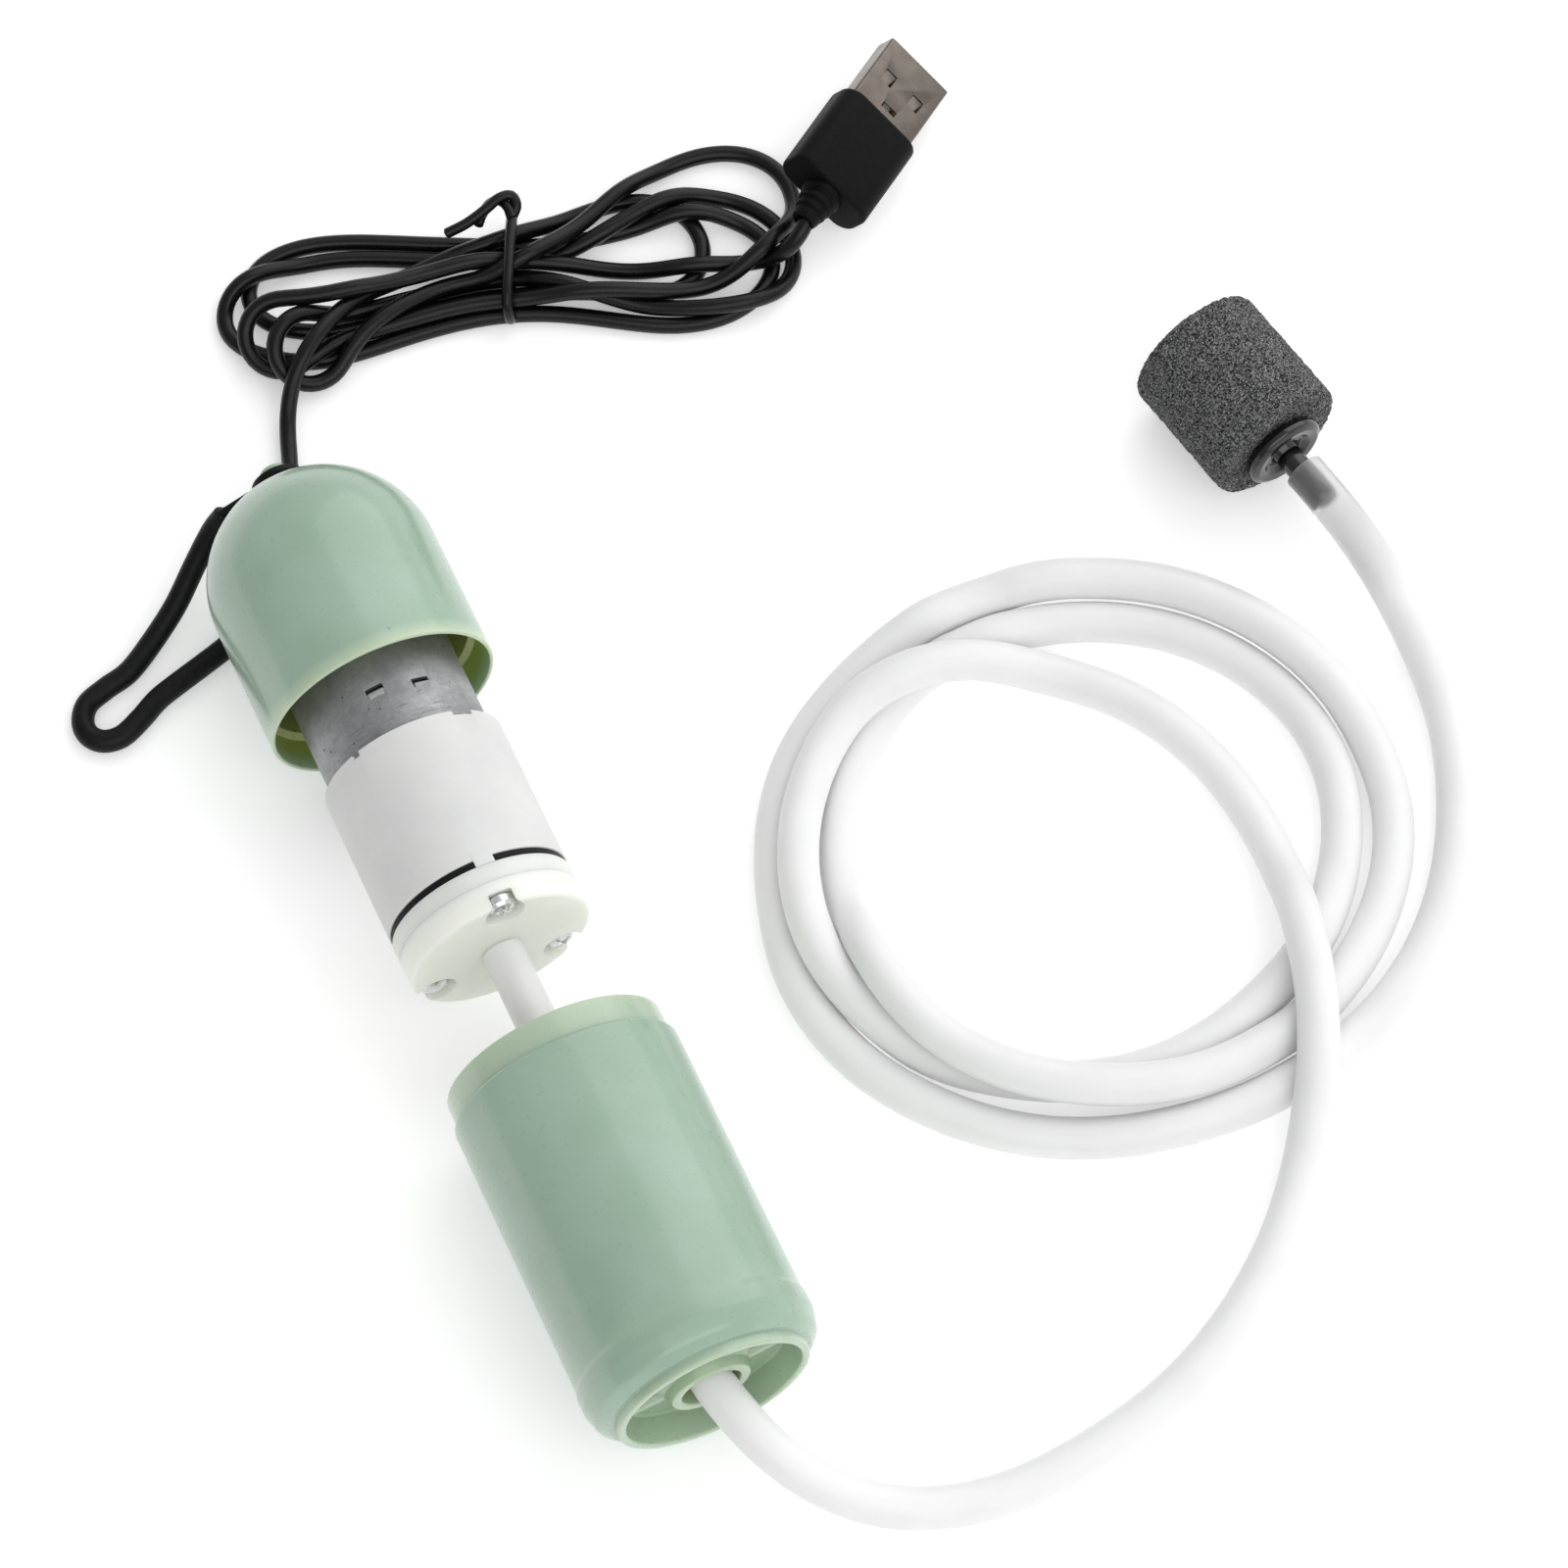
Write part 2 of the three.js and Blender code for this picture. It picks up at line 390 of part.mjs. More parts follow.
// ---------------------------------------------------------------- USB cable
{
  const LEAD = [[2.14, 81.92, 7.27], [2.9, 86.3, 3.9], [4.4, 89.6, 1.6], [5.6, 94.0, 1.35], [6.7, 98.2, 1.9], [7.6, 101.2, 3.3]];
  add(table, 'usb_cable_lead', tube(LEAD, CABLE_R, 8, 12), BLACK, 0.3);

  const W = new THREE.Vector2(47.8, 108.6);            // middle of the tied waist
  const E1 = new THREE.Vector2(0.91, -0.415), E2 = new THREE.Vector2(0.415, 0.91);
  const left = [[3.0, 108], [3.2, 114], [5.5, 120], [10, 124.6], [18, 127.4], [26, 125.6], [35, 121], [44, 117.5], [50.6, 114.6], [45.4, 103.0], [38, 102.4], [30, 102.9], [20, 102.4], [11, 103.2], [5, 105.4]];
  const right = [[45.4, 103.0], [50.6, 114.6], [58, 112.2], [66, 113.8], [74, 116.4], [82, 117.0], [89, 114.6], [92.6, 108.5], [92.8, 102], [90.6, 97.2], [89.8, 92], [87.4, 87.6], [80, 84.8], [70, 85.4], [62, 90.4], [54, 96.8]];
  const slab = (pts, z0, z1) => {
    const s = new THREE.Shape(pts.map(([x, y]) => new THREE.Vector2(x, y)));
    return solid(moved(new THREE.ExtrudeGeometry(s, { depth: z1 - z0, bevelEnabled: false }), 0, 0, z0));
  };
  const waistBox = (halfLen, halfW, z0, z1) => {
    const g = new THREE.BoxGeometry(2 * halfLen, 2 * halfW, z1 - z0);
    g.applyMatrix4(basis(new THREE.Vector3(E1.x, E1.y, 0), new THREE.Vector3(E2.x, E2.y, 0), new THREE.Vector3(0, 0, 1), new THREE.Vector3(W.x, W.y, (z0 + z1) / 2)));
    return solid(g);
  };
  let hank = slab(left, 0.1, 8.4).add(slab(right, 0.1, 3.9)).add(waistBox(4, 5.6, 0.4, 6.2));
  hank = hank.subtract(waistBox(1.4, 12, -1, 12).subtract(waistBox(3, 5.6, 1.9, 6.2)));
  add(table, 'usb_cable_hank', hank, BLACK, 0.3);
  const tie = waistBox(0.8, 7.2, 0.1, 7.9).subtract(waistBox(3, 5.95, 1.55, 6.6));
  add(table, 'cable_tie', tie, 0x141414, 0.4);

  const A = new THREE.Vector3(0.8101, 0.5769, -0.105).normalize();
  const Wd = new THREE.Vector3(0.4399, -0.7163, -0.5416).normalize();
  const N = new THREE.Vector3().crossVectors(Wd, A).normalize();
  const FC = new THREE.Vector3(105.669, 105.387, 7.80);
  // plug frame: x across the plug, y toward the nose, z up through the plug
  const Z = N.z > 0 ? N : N.clone().negate();
  const m = basis(new THREE.Vector3().crossVectors(A, Z), A, Z, FC);
  const inPlug = (man) => transformed(man, m);
  const rr = (w, t, r) => {
    const s = new THREE.Shape();
    s.moveTo(-w + r, -t); s.lineTo(w - r, -t); s.lineTo(w, -t + r); s.lineTo(w, t - r); s.lineTo(w - r, t); s.lineTo(-w + r, t); s.lineTo(-w, t - r); s.lineTo(-w, -t + r);
    s.closePath();
    return s;
  };
  const prism = (shape, y0, y1) => {
    const g = new THREE.ExtrudeGeometry(shape, { depth: y1 - y0, bevelEnabled: false });
    g.rotateX(Math.PI / 2); g.translate(0, y1, 0);
    return solid(g);
  };
  let over = prism(rr(7.4, 4.0, 1.2), -15.4, 0);
  over = over.add(solid(moved(new THREE.CylinderGeometry(2.5, 2.9, 2.4, 12), 0, -16.4, 0)));
  over = over.add(solid(moved(new THREE.CylinderGeometry(2.4, 1.9, 4.2, 12).rotateX(Math.PI), 0, -19.2, 0)));
  over = over.subtract(prism(rr(6.35, 2.6, 0.2), -6.0, 1));
  add(table, 'usb_plug_overmold', inPlug(over), 0x1a1a1b, 0.6);
  let shell = prism(rr(6.0, 2.25, 0.25), -5.7, 12).subtract(prism(rr(5.7, 1.95, 0.15), -4.5, 13));
  for (const x of [-2.6, 2.6]) shell = shell.subtract(box(x - 1.0, x + 1.0, 5.2, 7.4, -3, 3));
  add(table, 'usb_plug_shell', inPlug(shell), 0xb8b4ae, 0.25, 1);
  add(table, 'usb_plug_tongue', inPlug(box(-5.4, 5.4, -4.2, 11.2, -1.6, 0.0)), 0xf0f0f0, 0.5);
  [-3.6, -1.2, 1.2, 3.6].forEach((x, i) => {
    add(table, 'usb_contact_' + (i + 1), inPlug(box(x - 0.5, x + 0.5, 1.0, 10.4, 0.3, 0.55)), 0xd8b860, 0.25, 1);
  });
  const neckEnd = FC.clone().addScaledVector(A, -21.6);
  const back = neckEnd.clone().addScaledVector(A, -3.2);
  const TAIL = [[82.2, 93.0, 5.6], [84.6, 92.2, 6.4], [back.x, back.y, back.z - 0.3], [neckEnd.x, neckEnd.y, neckEnd.z]];
  add(table, 'usb_cable_tail', tube(TAIL, CABLE_R, 8, 6), BLACK, 0.3);
}

export default part;
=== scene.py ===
# Looks of a small USB aquarium air pump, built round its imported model. Everything is in metres, in the model's frame.
import json
import math

import bmesh
import bpy
import numpy as np
from mathutils import Matrix, Vector


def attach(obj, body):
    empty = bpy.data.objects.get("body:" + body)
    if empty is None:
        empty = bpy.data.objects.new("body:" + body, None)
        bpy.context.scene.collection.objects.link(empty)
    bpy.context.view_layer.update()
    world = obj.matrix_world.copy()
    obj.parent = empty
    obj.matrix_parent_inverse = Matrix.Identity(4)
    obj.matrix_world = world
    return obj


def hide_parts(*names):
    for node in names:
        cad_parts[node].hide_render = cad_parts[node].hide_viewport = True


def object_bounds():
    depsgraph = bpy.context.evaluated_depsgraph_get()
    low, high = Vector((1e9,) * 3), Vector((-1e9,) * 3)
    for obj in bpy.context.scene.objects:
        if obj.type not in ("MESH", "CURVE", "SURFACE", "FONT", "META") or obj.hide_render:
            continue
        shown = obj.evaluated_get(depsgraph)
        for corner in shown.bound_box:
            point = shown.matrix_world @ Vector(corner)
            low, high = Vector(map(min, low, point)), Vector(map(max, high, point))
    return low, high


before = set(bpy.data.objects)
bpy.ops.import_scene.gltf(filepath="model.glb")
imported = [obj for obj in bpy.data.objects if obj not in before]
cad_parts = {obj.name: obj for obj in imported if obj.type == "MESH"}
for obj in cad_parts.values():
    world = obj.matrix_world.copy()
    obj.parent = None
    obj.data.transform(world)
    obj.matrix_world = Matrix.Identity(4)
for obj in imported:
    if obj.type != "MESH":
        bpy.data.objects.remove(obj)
CAD_BOX = [[float(v) for v in c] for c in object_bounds()]

OX, OY, AZ = 11.45, -5.7, 17.0          # pump axis and valve head face, mm


def M(p):
    """mm in the pump's layout -> metres in the frame"""
    p = np.asarray(p, float)
    return (p + np.array([OX, OY, 0.0])) * 0.001


# ------------------------------------------------------------------ camera
cam_pos = Vector(M([-115.67862, -348.00987, 816.91464]))
cam_aim = Vector(M([47.93198, 11.00082, 8.0]))
cd = bpy.data.cameras.new("camera")
cam = bpy.data.objects.new("camera", cd)
bpy.context.collection.objects.link(cam)
cd.sensor_width = 36.0
cd.lens = 145.8
cd.clip_start, cd.clip_end = 0.05, 20.0
view_dir = (cam_aim - cam_pos).normalized()
cam.location = cam_pos
cam.rotation_euler = view_dir.to_track_quat("-Z", "Y").to_euler()
bpy.context.scene.camera = cam

HOSE = np.array([
    [0, -0.25, 17], [0, -5.25, 17], [0, -10.25, 17], [-0, -15.25, 17], [-0, -20.25, 17], [0, -25.26, 17],
    [0, -30.26, 17], [0, -35.26, 17], [-0, -40.26, 17], [-0, -45.26, 17], [0, -50.26, 17], [0.01, -55.26, 17],
    [-0.02, -60.26, 17], [0, -65.26, 16.99], [0.51, -70.22, 16.67], [1.73, -74.95, 15.66], [3.45, -79.4, 14.17], [5.72, -83.43, 12.3],
    [8.57, -86.99, 10.25], [12.03, -90, 8.26], [16.02, -92.42, 6.5], [20.44, -94.25, 5.06], [25.15, -95.55, 4.02], [30.06, -96.31, 3.43],
    [35.04, -96.58, 3.09], [40.03, -96.37, 3], [45, -95.8, 3], [49.93, -94.97, 3], [54.81, -93.87, 3], [59.59, -92.41, 3],
    [64.22, -90.54, 3], [68.69, -88.28, 3], [72.98, -85.72, 3], [77.07, -82.85, 3], [80.96, -79.7, 3], [84.59, -76.27, 3],
    [87.96, -72.57, 3.05], [91.04, -68.7, 3.67], [93.73, -64.96, 5.6], [96.14, -61.22, 7.87], [98.44, -56.99, 9.13], [100.58, -52.48, 9.37],
    [102.41, -47.83, 9.26], [103.89, -43.05, 9.12], [105.15, -38.27, 8.47], [106.23, -33.77, 6.59], [107.08, -29.35, 4.43], [107.57, -24.54, 3.22],
    [107.57, -19.55, 3.01], [107.08, -14.57, 3], [106.11, -9.67, 3], [104.62, -4.9, 3], [102.58, -0.34, 3], [99.96, 3.92, 3],
    [96.81, 7.8, 3], [93.17, 11.22, 3.16], [89.21, 14.08, 4.11], [85.11, 16.26, 5.97], [80.76, 17.9, 7.79], [76.04, 18.91, 9.04],
    [71.08, 19.31, 9.5], [66.12, 18.97, 9.11], [61.38, 17.59, 8.44], [57.1, 15.06, 7.98], [53.32, 11.8, 7.92], [50, 8.07, 8.1],
    [47.16, 3.96, 8.3], [44.87, -0.48, 8.42], [43.19, -5.18, 8.41], [42.18, -10.07, 8.21], [42.05, -15.03, 7.63], [42.81, -19.92, 6.96],
    [44.33, -24.61, 6.18], [46.49, -28.96, 4.99], [49.23, -32.94, 3.73], [52.64, -36.53, 3.1], [56.51, -39.68, 3], [60.67, -42.46, 3],
    [65.07, -44.83, 3], [69.73, -46.64, 3], [74.59, -47.8, 3], [79.57, -48.25, 3], [84.56, -48.05, 3], [89.49, -47.23, 3],
    [94.29, -45.85, 3], [98.96, -44.05, 3], [103.45, -41.86, 3], [107.65, -39.15, 3], [111.35, -35.8, 3], [114.56, -31.97, 3],
    [117.28, -27.78, 3], [119.44, -23.27, 3], [120.87, -18.48, 3], [121.49, -13.53, 3], [121.23, -8.54, 3], [120.16, -3.66, 3],
    [118.33, 0.99, 3], [115.85, 5.32, 3], [112.79, 9.28, 3], [109.21, 12.76, 3], [105.19, 15.73, 3], [100.83, 18.18, 3],
    [96.22, 20.09, 3.01], [91.39, 21.36, 3.2], [86.45, 22.08, 3.54], [81.47, 22.18, 3.23], [76.52, 21.56, 3.26], [71.74, 20.12, 3.37],
    [67.29, 17.88, 3.11], [63.16, 15.06, 3.01], [59.4, 11.76, 3], [56.14, 7.98, 3], [53.44, 3.78, 3], [51.23, -0.71, 3.03],
    [49.54, -5.39, 3.37], [48.46, -9.98, 4.94], [47.94, -14.09, 7.74], [47.68, -18.35, 10.31], [47.88, -23.21, 11.27], [48.98, -28.05, 10.78],
    [50.8, -32.61, 9.88], [53.31, -36.9, 9.35], [56.39, -40.83, 9.19], [60.04, -44.24, 9.03], [64.12, -47.12, 8.79], [68.51, -49.48, 8.47],
    [73.13, -51.32, 8.02], [77.93, -52.59, 7.47], [82.85, -53.22, 6.83], [87.8, -53.14, 6.15], [92.69, -52.47, 5.37], [97.4, -51.35, 4.15],
    [102.03, -49.74, 3.2], [106.57, -47.65, 3.01], [110.85, -45.07, 3], [114.83, -42.05, 3], [118.42, -38.58, 3], [121.58, -34.71, 3],
    [124.2, -30.45, 3], [126.17, -25.86, 3], [127.39, -21.01, 3.03], [127.86, -16.06, 3.42], [127.65, -11.17, 4.44], [126.8, -6.35, 5.42],
    [125.36, -1.6, 5.95], [123.41, 3, 6.23], [120.98, 7.36, 6.31], [118.07, 11.43, 6.24], [114.74, 15.15, 6.16], [110.98, 18.44, 6.08],
    [106.86, 21.27, 5.96], [102.45, 23.63, 5.88], [97.86, 25.59, 5.76], [93.14, 27.1, 5.13], [88.41, 28.09, 3.86], [83.46, 28.45, 3.73],
    [78.49, 28.18, 4.12], [73.63, 27.3, 3.42], [68.87, 25.85, 3.03], [64.25, 23.94, 3], [59.8, 21.65, 3], [55.59, 18.96, 3],
    [51.74, 15.78, 3], [48.37, 12.09, 3], [45.49, 8, 3], [43.12, 3.61, 3], [41.17, -1, 3], [39.65, -5.76, 3],
    [38.49, -10.63, 3], [37.9, -15.59, 3], [38.08, -20.58, 3], [39, -25.49, 3], [40.56, -30.24, 3], [42.78, -34.71, 3],
    [45.54, -38.88, 3], [48.72, -42.73, 3], [52.28, -46.25, 3], [56.19, -49.35, 3], [60.42, -52.02, 3], [64.93, -54.19, 3],
    [69.62, -55.91, 3], [74.46, -57.16, 3], [79.38, -58.04, 3], [84.36, -58.51, 3], [89.36, -58.56, 3], [94.34, -58.13, 3],
    [99.28, -57.36, 3], [104.14, -56.19, 3], [108.86, -54.55, 3], [113.37, -52.4, 3], [117.64, -49.79, 3], [121.6, -46.74, 3],
    [125.22, -43.3, 3], [128.48, -39.51, 3], [131.38, -35.44, 3], [133.93, -31.14, 3], [136.14, -26.65, 3], [138, -22.02, 3],
    [139.48, -17.24, 3], [140.52, -12.35, 3.02], [141.1, -7.39, 3.3], [141.26, -2.5, 4.26], [140.97, 2.25, 5.79], [140.35, 6.84, 7.68],
    [139.47, 11.45, 9.38], [138.46, 16.23, 10.44], [137.42, 21.11, 10.82], [136.4, 26, 10.89]
])
CABLE = np.array([
    [1.15, 73.176, 11.768], [1.37, 75.124, 10.765], [1.591, 77.073, 9.767], [1.811, 79.021, 8.766], [2.027, 80.962, 7.749], [2.269, 82.908, 6.75],
    [2.558, 84.517, 5.279], [3.13, 86.105, 3.87], [3.751, 87.815, 2.637], [4.443, 89.711, 1.773], [5.158, 91.747, 1.355], [5.865, 93.829, 1.278],
    [6.599, 95.896, 1.433], [7.422, 97.87, 1.939], [8.373, 99.627, 2.853], [9.463, 101.154, 4.001], [10.723, 102.529, 5.169], [12.194, 103.838, 6.145],
    [13.856, 105.119, 6.799], [15.648, 106.36, 7.088], [17.504, 107.538, 7.043], [19.39, 108.636, 6.763], [21.303, 109.635, 6.33], [23.245, 110.502, 5.766],
    [25.209, 111.211, 5.073], [27.195, 111.767, 4.303], [29.229, 112.189, 3.578], [31.348, 112.488, 3.072], [33.531, 112.675, 2.888], [35.725, 112.757, 3.013],
    [37.906, 112.752, 3.308], [40.089, 112.693, 3.584], [42.283, 112.61, 3.747], [44.482, 112.528, 3.805], [46.682, 112.469, 3.791], [48.878, 112.445, 3.651],
    [51.047, 112.458, 3.285], [53.166, 112.502, 2.694], [55.266, 112.568, 2.037], [57.405, 112.64, 1.525], [59.592, 112.687, 1.292], [61.792, 112.665, 1.25],
    [63.989, 112.526, 1.25], [66.167, 112.214, 1.25], [68.3, 111.679, 1.25], [70.334, 110.843, 1.25], [72.156, 109.616, 1.25], [73.662, 108.019, 1.25],
    [74.758, 106.117, 1.25], [75.354, 104.004, 1.25], [75.439, 101.811, 1.25], [74.999, 99.661, 1.25], [73.98, 97.72, 1.25], [72.418, 96.186, 1.25],
    [70.452, 95.221, 1.25], [68.28, 94.93, 1.25], [66.107, 95.24, 1.25], [64.033, 95.969, 1.25], [62.063, 96.948, 1.25], [60.146, 98.031, 1.25],
    [58.23, 99.114, 1.25], [56.278, 100.133, 1.25], [54.277, 101.049, 1.25], [52.233, 101.866, 1.25], [50.164, 102.616, 1.25], [48.086, 103.342, 1.25],
    [46.004, 104.058, 1.25], [43.909, 104.733, 1.25], [41.787, 105.32, 1.25], [39.641, 105.807, 1.25], [37.476, 106.207, 1.25], [35.301, 106.548, 1.25],
    [33.122, 106.861, 1.25], [30.942, 107.166, 1.25], [28.763, 107.476, 1.25], [26.586, 107.806, 1.25], [24.419, 108.188, 1.25], [22.273, 108.678, 1.25],
    [20.162, 109.302, 1.25], [18.097, 110.064, 1.25], [16.098, 110.983, 1.25], [14.2, 112.096, 1.25], [12.481, 113.466, 1.25], [11.109, 115.178, 1.25],
    [10.291, 117.208, 1.25], [10.204, 119.394, 1.25], [10.934, 121.456, 1.25], [12.351, 123.121, 1.25], [14.236, 124.235, 1.25], [16.362, 124.786, 1.25],
    [18.557, 124.897, 1.25], [20.746, 124.687, 1.25], [22.898, 124.226, 1.25], [25, 123.576, 1.25], [27.057, 122.791, 1.25], [29.072, 121.907, 1.25],
    [31.058, 120.956, 1.25], [33.025, 119.968, 1.25], [34.984, 118.965, 1.25], [36.943, 117.961, 1.25], [38.906, 116.965, 1.25], [40.874, 115.977, 1.25],
    [42.845, 114.996, 1.25], [44.815, 114.015, 1.25], [46.787, 113.036, 1.25], [48.769, 112.077, 1.25], [50.775, 111.171, 1.25], [52.817, 110.349, 1.25],
    [54.898, 109.633, 1.25], [57.011, 109.016, 1.25], [59.148, 108.488, 1.25], [61.304, 108.044, 1.25], [63.472, 107.666, 1.25], [65.647, 107.328, 1.293],
    [67.806, 106.997, 1.548], [69.902, 106.642, 2.111], [71.938, 106.228, 2.838], [73.998, 105.691, 3.382], [76.074, 104.987, 3.403], [78.025, 104.118, 2.895],
    [79.798, 103.048, 2.154], [81.412, 101.684, 1.557], [82.78, 99.991, 1.284], [83.714, 98.006, 1.25], [84.029, 95.838, 1.25], [83.666, 93.679, 1.25],
    [82.649, 91.738, 1.25], [81.096, 90.188, 1.25], [79.219, 89.048, 1.25], [77.158, 88.285, 1.25], [74.995, 87.887, 1.25], [72.798, 87.811, 1.25],
    [70.61, 88.036, 1.25], [68.468, 88.537, 1.25], [66.389, 89.26, 1.25], [64.382, 90.162, 1.25], [62.447, 91.211, 1.25], [60.565, 92.353, 1.25],
    [58.713, 93.542, 1.25], [56.869, 94.745, 1.25], [55.018, 95.936, 1.25], [53.145, 97.093, 1.25], [51.237, 98.191, 1.25], [49.285, 99.207, 1.25],
    [47.285, 100.127, 1.25], [45.24, 100.94, 1.25], [43.155, 101.645, 1.25], [41.038, 102.248, 1.25], [38.894, 102.749, 1.25], [36.731, 103.154, 1.25],
    [34.553, 103.477, 1.25], [32.367, 103.732, 1.25], [30.174, 103.93, 1.25], [27.979, 104.088, 1.25], [25.782, 104.227, 1.25], [23.586, 104.379, 1.25],
    [21.394, 104.578, 1.25], [19.21, 104.857, 1.25], [17.05, 105.277, 1.25], [14.941, 105.904, 1.25], [12.926, 106.785, 1.25], [11.036, 107.911, 1.25],
    [9.27, 109.224, 1.25], [7.656, 110.719, 1.25], [6.304, 112.451, 1.25], [5.424, 114.456, 1.25], [5.277, 116.634, 1.333], [5.946, 118.665, 1.772],
    [7.283, 120.212, 2.542], [9.092, 121.186, 3.296], [11.191, 121.735, 3.594], [13.347, 121.988, 3.276], [15.431, 122.042, 2.577], [17.511, 121.95, 1.863],
    [19.648, 121.707, 1.411], [21.806, 121.31, 1.259], [23.935, 120.754, 1.25], [26.02, 120.049, 1.25], [28.061, 119.225, 1.25], [30.064, 118.312, 1.25],
    [32.04, 117.342, 1.25], [34.005, 116.35, 1.25], [35.971, 115.359, 1.25], [37.943, 114.381, 1.25], [39.919, 113.409, 1.25], [41.893, 112.435, 1.25],
    [43.864, 111.455, 1.25], [45.838, 110.481, 1.25], [47.825, 109.533, 1.25], [49.842, 108.655, 1.295], [51.896, 107.9, 1.516], [53.974, 107.326, 1.954],
    [56.071, 106.979, 2.52], [58.2, 106.875, 3.065], [60.358, 106.989, 3.476], [62.528, 107.274, 3.701], [64.695, 107.653, 3.766], [66.861, 108.047, 3.774],
    [69.035, 108.388, 3.812], [71.225, 108.609, 3.832], [73.414, 108.65, 3.642], [75.539, 108.458, 3.117], [77.556, 107.994, 2.372], [79.507, 107.238, 1.701],
    [81.388, 106.168, 1.324], [83.097, 104.787, 1.25], [84.567, 103.153, 1.25], [85.765, 101.309, 1.25], [86.634, 99.29, 1.25], [87.138, 97.151, 1.25],
    [87.207, 94.956, 1.25], [86.738, 92.812, 1.25], [85.722, 90.871, 1.32], [84.245, 89.288, 1.654], [82.445, 88.187, 2.256], [80.449, 87.561, 2.923],
    [78.328, 87.358, 3.459], [76.159, 87.541, 3.752], [74.016, 88.031, 3.803], [71.937, 88.738, 3.675], [69.926, 89.599, 3.428], [67.979, 90.575, 3.114],
    [66.08, 91.642, 2.796], [64.22, 92.796, 2.573], [62.399, 94.031, 2.556], [60.636, 95.332, 2.755], [58.936, 96.691, 3.084], [57.283, 98.106, 3.417],
    [55.647, 99.558, 3.662], [54.003, 101.017, 3.767], [52.326, 102.44, 3.684], [50.606, 103.784, 3.407], [48.836, 105.012, 2.958], [47.001, 106.09, 2.4],
    [45.077, 107.008, 1.855], [43.049, 107.761, 1.455], [40.934, 108.338, 1.276], [38.772, 108.741, 1.279], [36.598, 108.967, 1.525], [34.428, 109.145, 1.85],
    [32.259, 109.285, 2.203], [30.089, 109.392, 2.555], [27.915, 109.483, 2.891], [25.741, 109.589, 3.221], [23.58, 109.755, 3.599], [21.461, 110.016, 4.133],
    [19.433, 110.393, 4.895], [17.52, 110.901, 5.856], [15.533, 111.228, 6.718], [13.406, 110.927, 7.114], [11.471, 109.935, 6.929], [10.069, 108.41, 6.248],
    [9.435, 106.59, 5.221], [9.723, 104.768, 4.049], [10.841, 103.225, 2.987], [12.618, 102.19, 2.256], [14.765, 101.857, 2.04], [16.893, 102.225, 2.357],
    [18.727, 103.163, 3.104], [20.475, 104.218, 3.923], [22.359, 105.152, 4.568], [24.365, 105.965, 4.955], [26.449, 106.658, 5.071], [28.574, 107.219, 4.969],
    [30.721, 107.629, 4.713], [32.883, 107.917, 4.415], [35.058, 108.1, 4.13], [37.244, 108.123, 3.876], [39.42, 107.907, 3.718], [41.554, 107.424, 3.931],
    [43.626, 106.98, 4.517], [45.653, 106.705, 5.326], [47.73, 106.666, 6.045], [49.896, 106.864, 6.341], [52.052, 107.238, 6.158], [54.133, 107.741, 5.652],
    [56.155, 108.355, 5.036], [58.16, 109.065, 4.467], [60.169, 109.852, 4.039], [62.191, 110.691, 3.815], [64.218, 111.544, 3.73], [66.254, 112.37, 3.596],
    [68.288, 113.118, 3.221], [70.304, 113.751, 2.606], [72.342, 114.261, 1.949], [74.455, 114.638, 1.474], [76.636, 114.85, 1.28], [78.836, 114.864, 1.25],
    [81.025, 114.644, 1.25], [83.168, 114.149, 1.25], [85.219, 113.358, 1.25], [87.112, 112.241, 1.25], [88.744, 110.77, 1.25], [90.022, 108.985, 1.25],
    [90.854, 106.953, 1.25], [91.151, 104.778, 1.25], [90.932, 102.598, 1.344], [90.267, 100.558, 1.797], [89.261, 98.809, 2.661], [88.026, 97.354, 3.753],
    [86.583, 96.114, 4.856], [84.874, 95.023, 5.698], [82.921, 94.077, 5.982], [80.888, 93.344, 5.616], [78.903, 92.871, 4.8], [76.909, 92.629, 3.901],
    [74.825, 92.586, 3.205], [72.656, 92.734, 2.894], [70.484, 93.052, 3.011], [68.369, 93.497, 3.418], [66.303, 94.039, 3.952], [64.263, 94.664, 4.493],
    [62.233, 95.354, 4.992], [60.206, 96.102, 5.409], [58.173, 96.906, 5.662], [56.142, 97.75, 5.664], [54.139, 98.614, 5.383], [52.177, 99.474, 4.88],
    [50.226, 100.321, 4.313], [48.243, 101.151, 3.843], [46.211, 101.946, 3.554], [44.14, 102.681, 3.437], [42.04, 103.341, 3.402], [39.917, 103.921, 3.387],
    [37.772, 104.416, 3.364], [35.609, 104.818, 3.329], [33.431, 105.138, 3.281], [31.25, 105.428, 3.218], [29.067, 105.696, 3.134], [26.883, 105.955, 3.039],
    [24.697, 106.204, 2.962], [22.505, 106.4, 2.964], [20.31, 106.441, 3.11], [18.13, 106.254, 3.337], [15.971, 105.845, 3.42], [13.841, 105.383, 3.142],
    [11.731, 105.262, 2.565], [9.686, 105.92, 2.17], [7.955, 107.247, 2.239], [6.82, 109.022, 2.807], [6.497, 110.964, 3.748], [7.03, 112.762, 4.866],
    [8.347, 114.11, 5.967], [10.218, 114.772, 6.873], [12.322, 114.672, 7.451], [14.388, 113.963, 7.692], [16.431, 113.157, 7.843], [18.507, 112.443, 7.994],
    [20.625, 111.857, 8.114], [22.779, 111.409, 8.138], [24.939, 111.069, 7.918], [27.069, 110.82, 7.421], [29.204, 110.655, 6.913], [31.357, 110.541, 6.47],
    [33.528, 110.432, 6.12], [35.712, 110.291, 5.894], [37.901, 110.064, 5.868], [40.086, 109.793, 5.854], [42.255, 109.47, 5.682], [44.37, 109.052, 5.245],
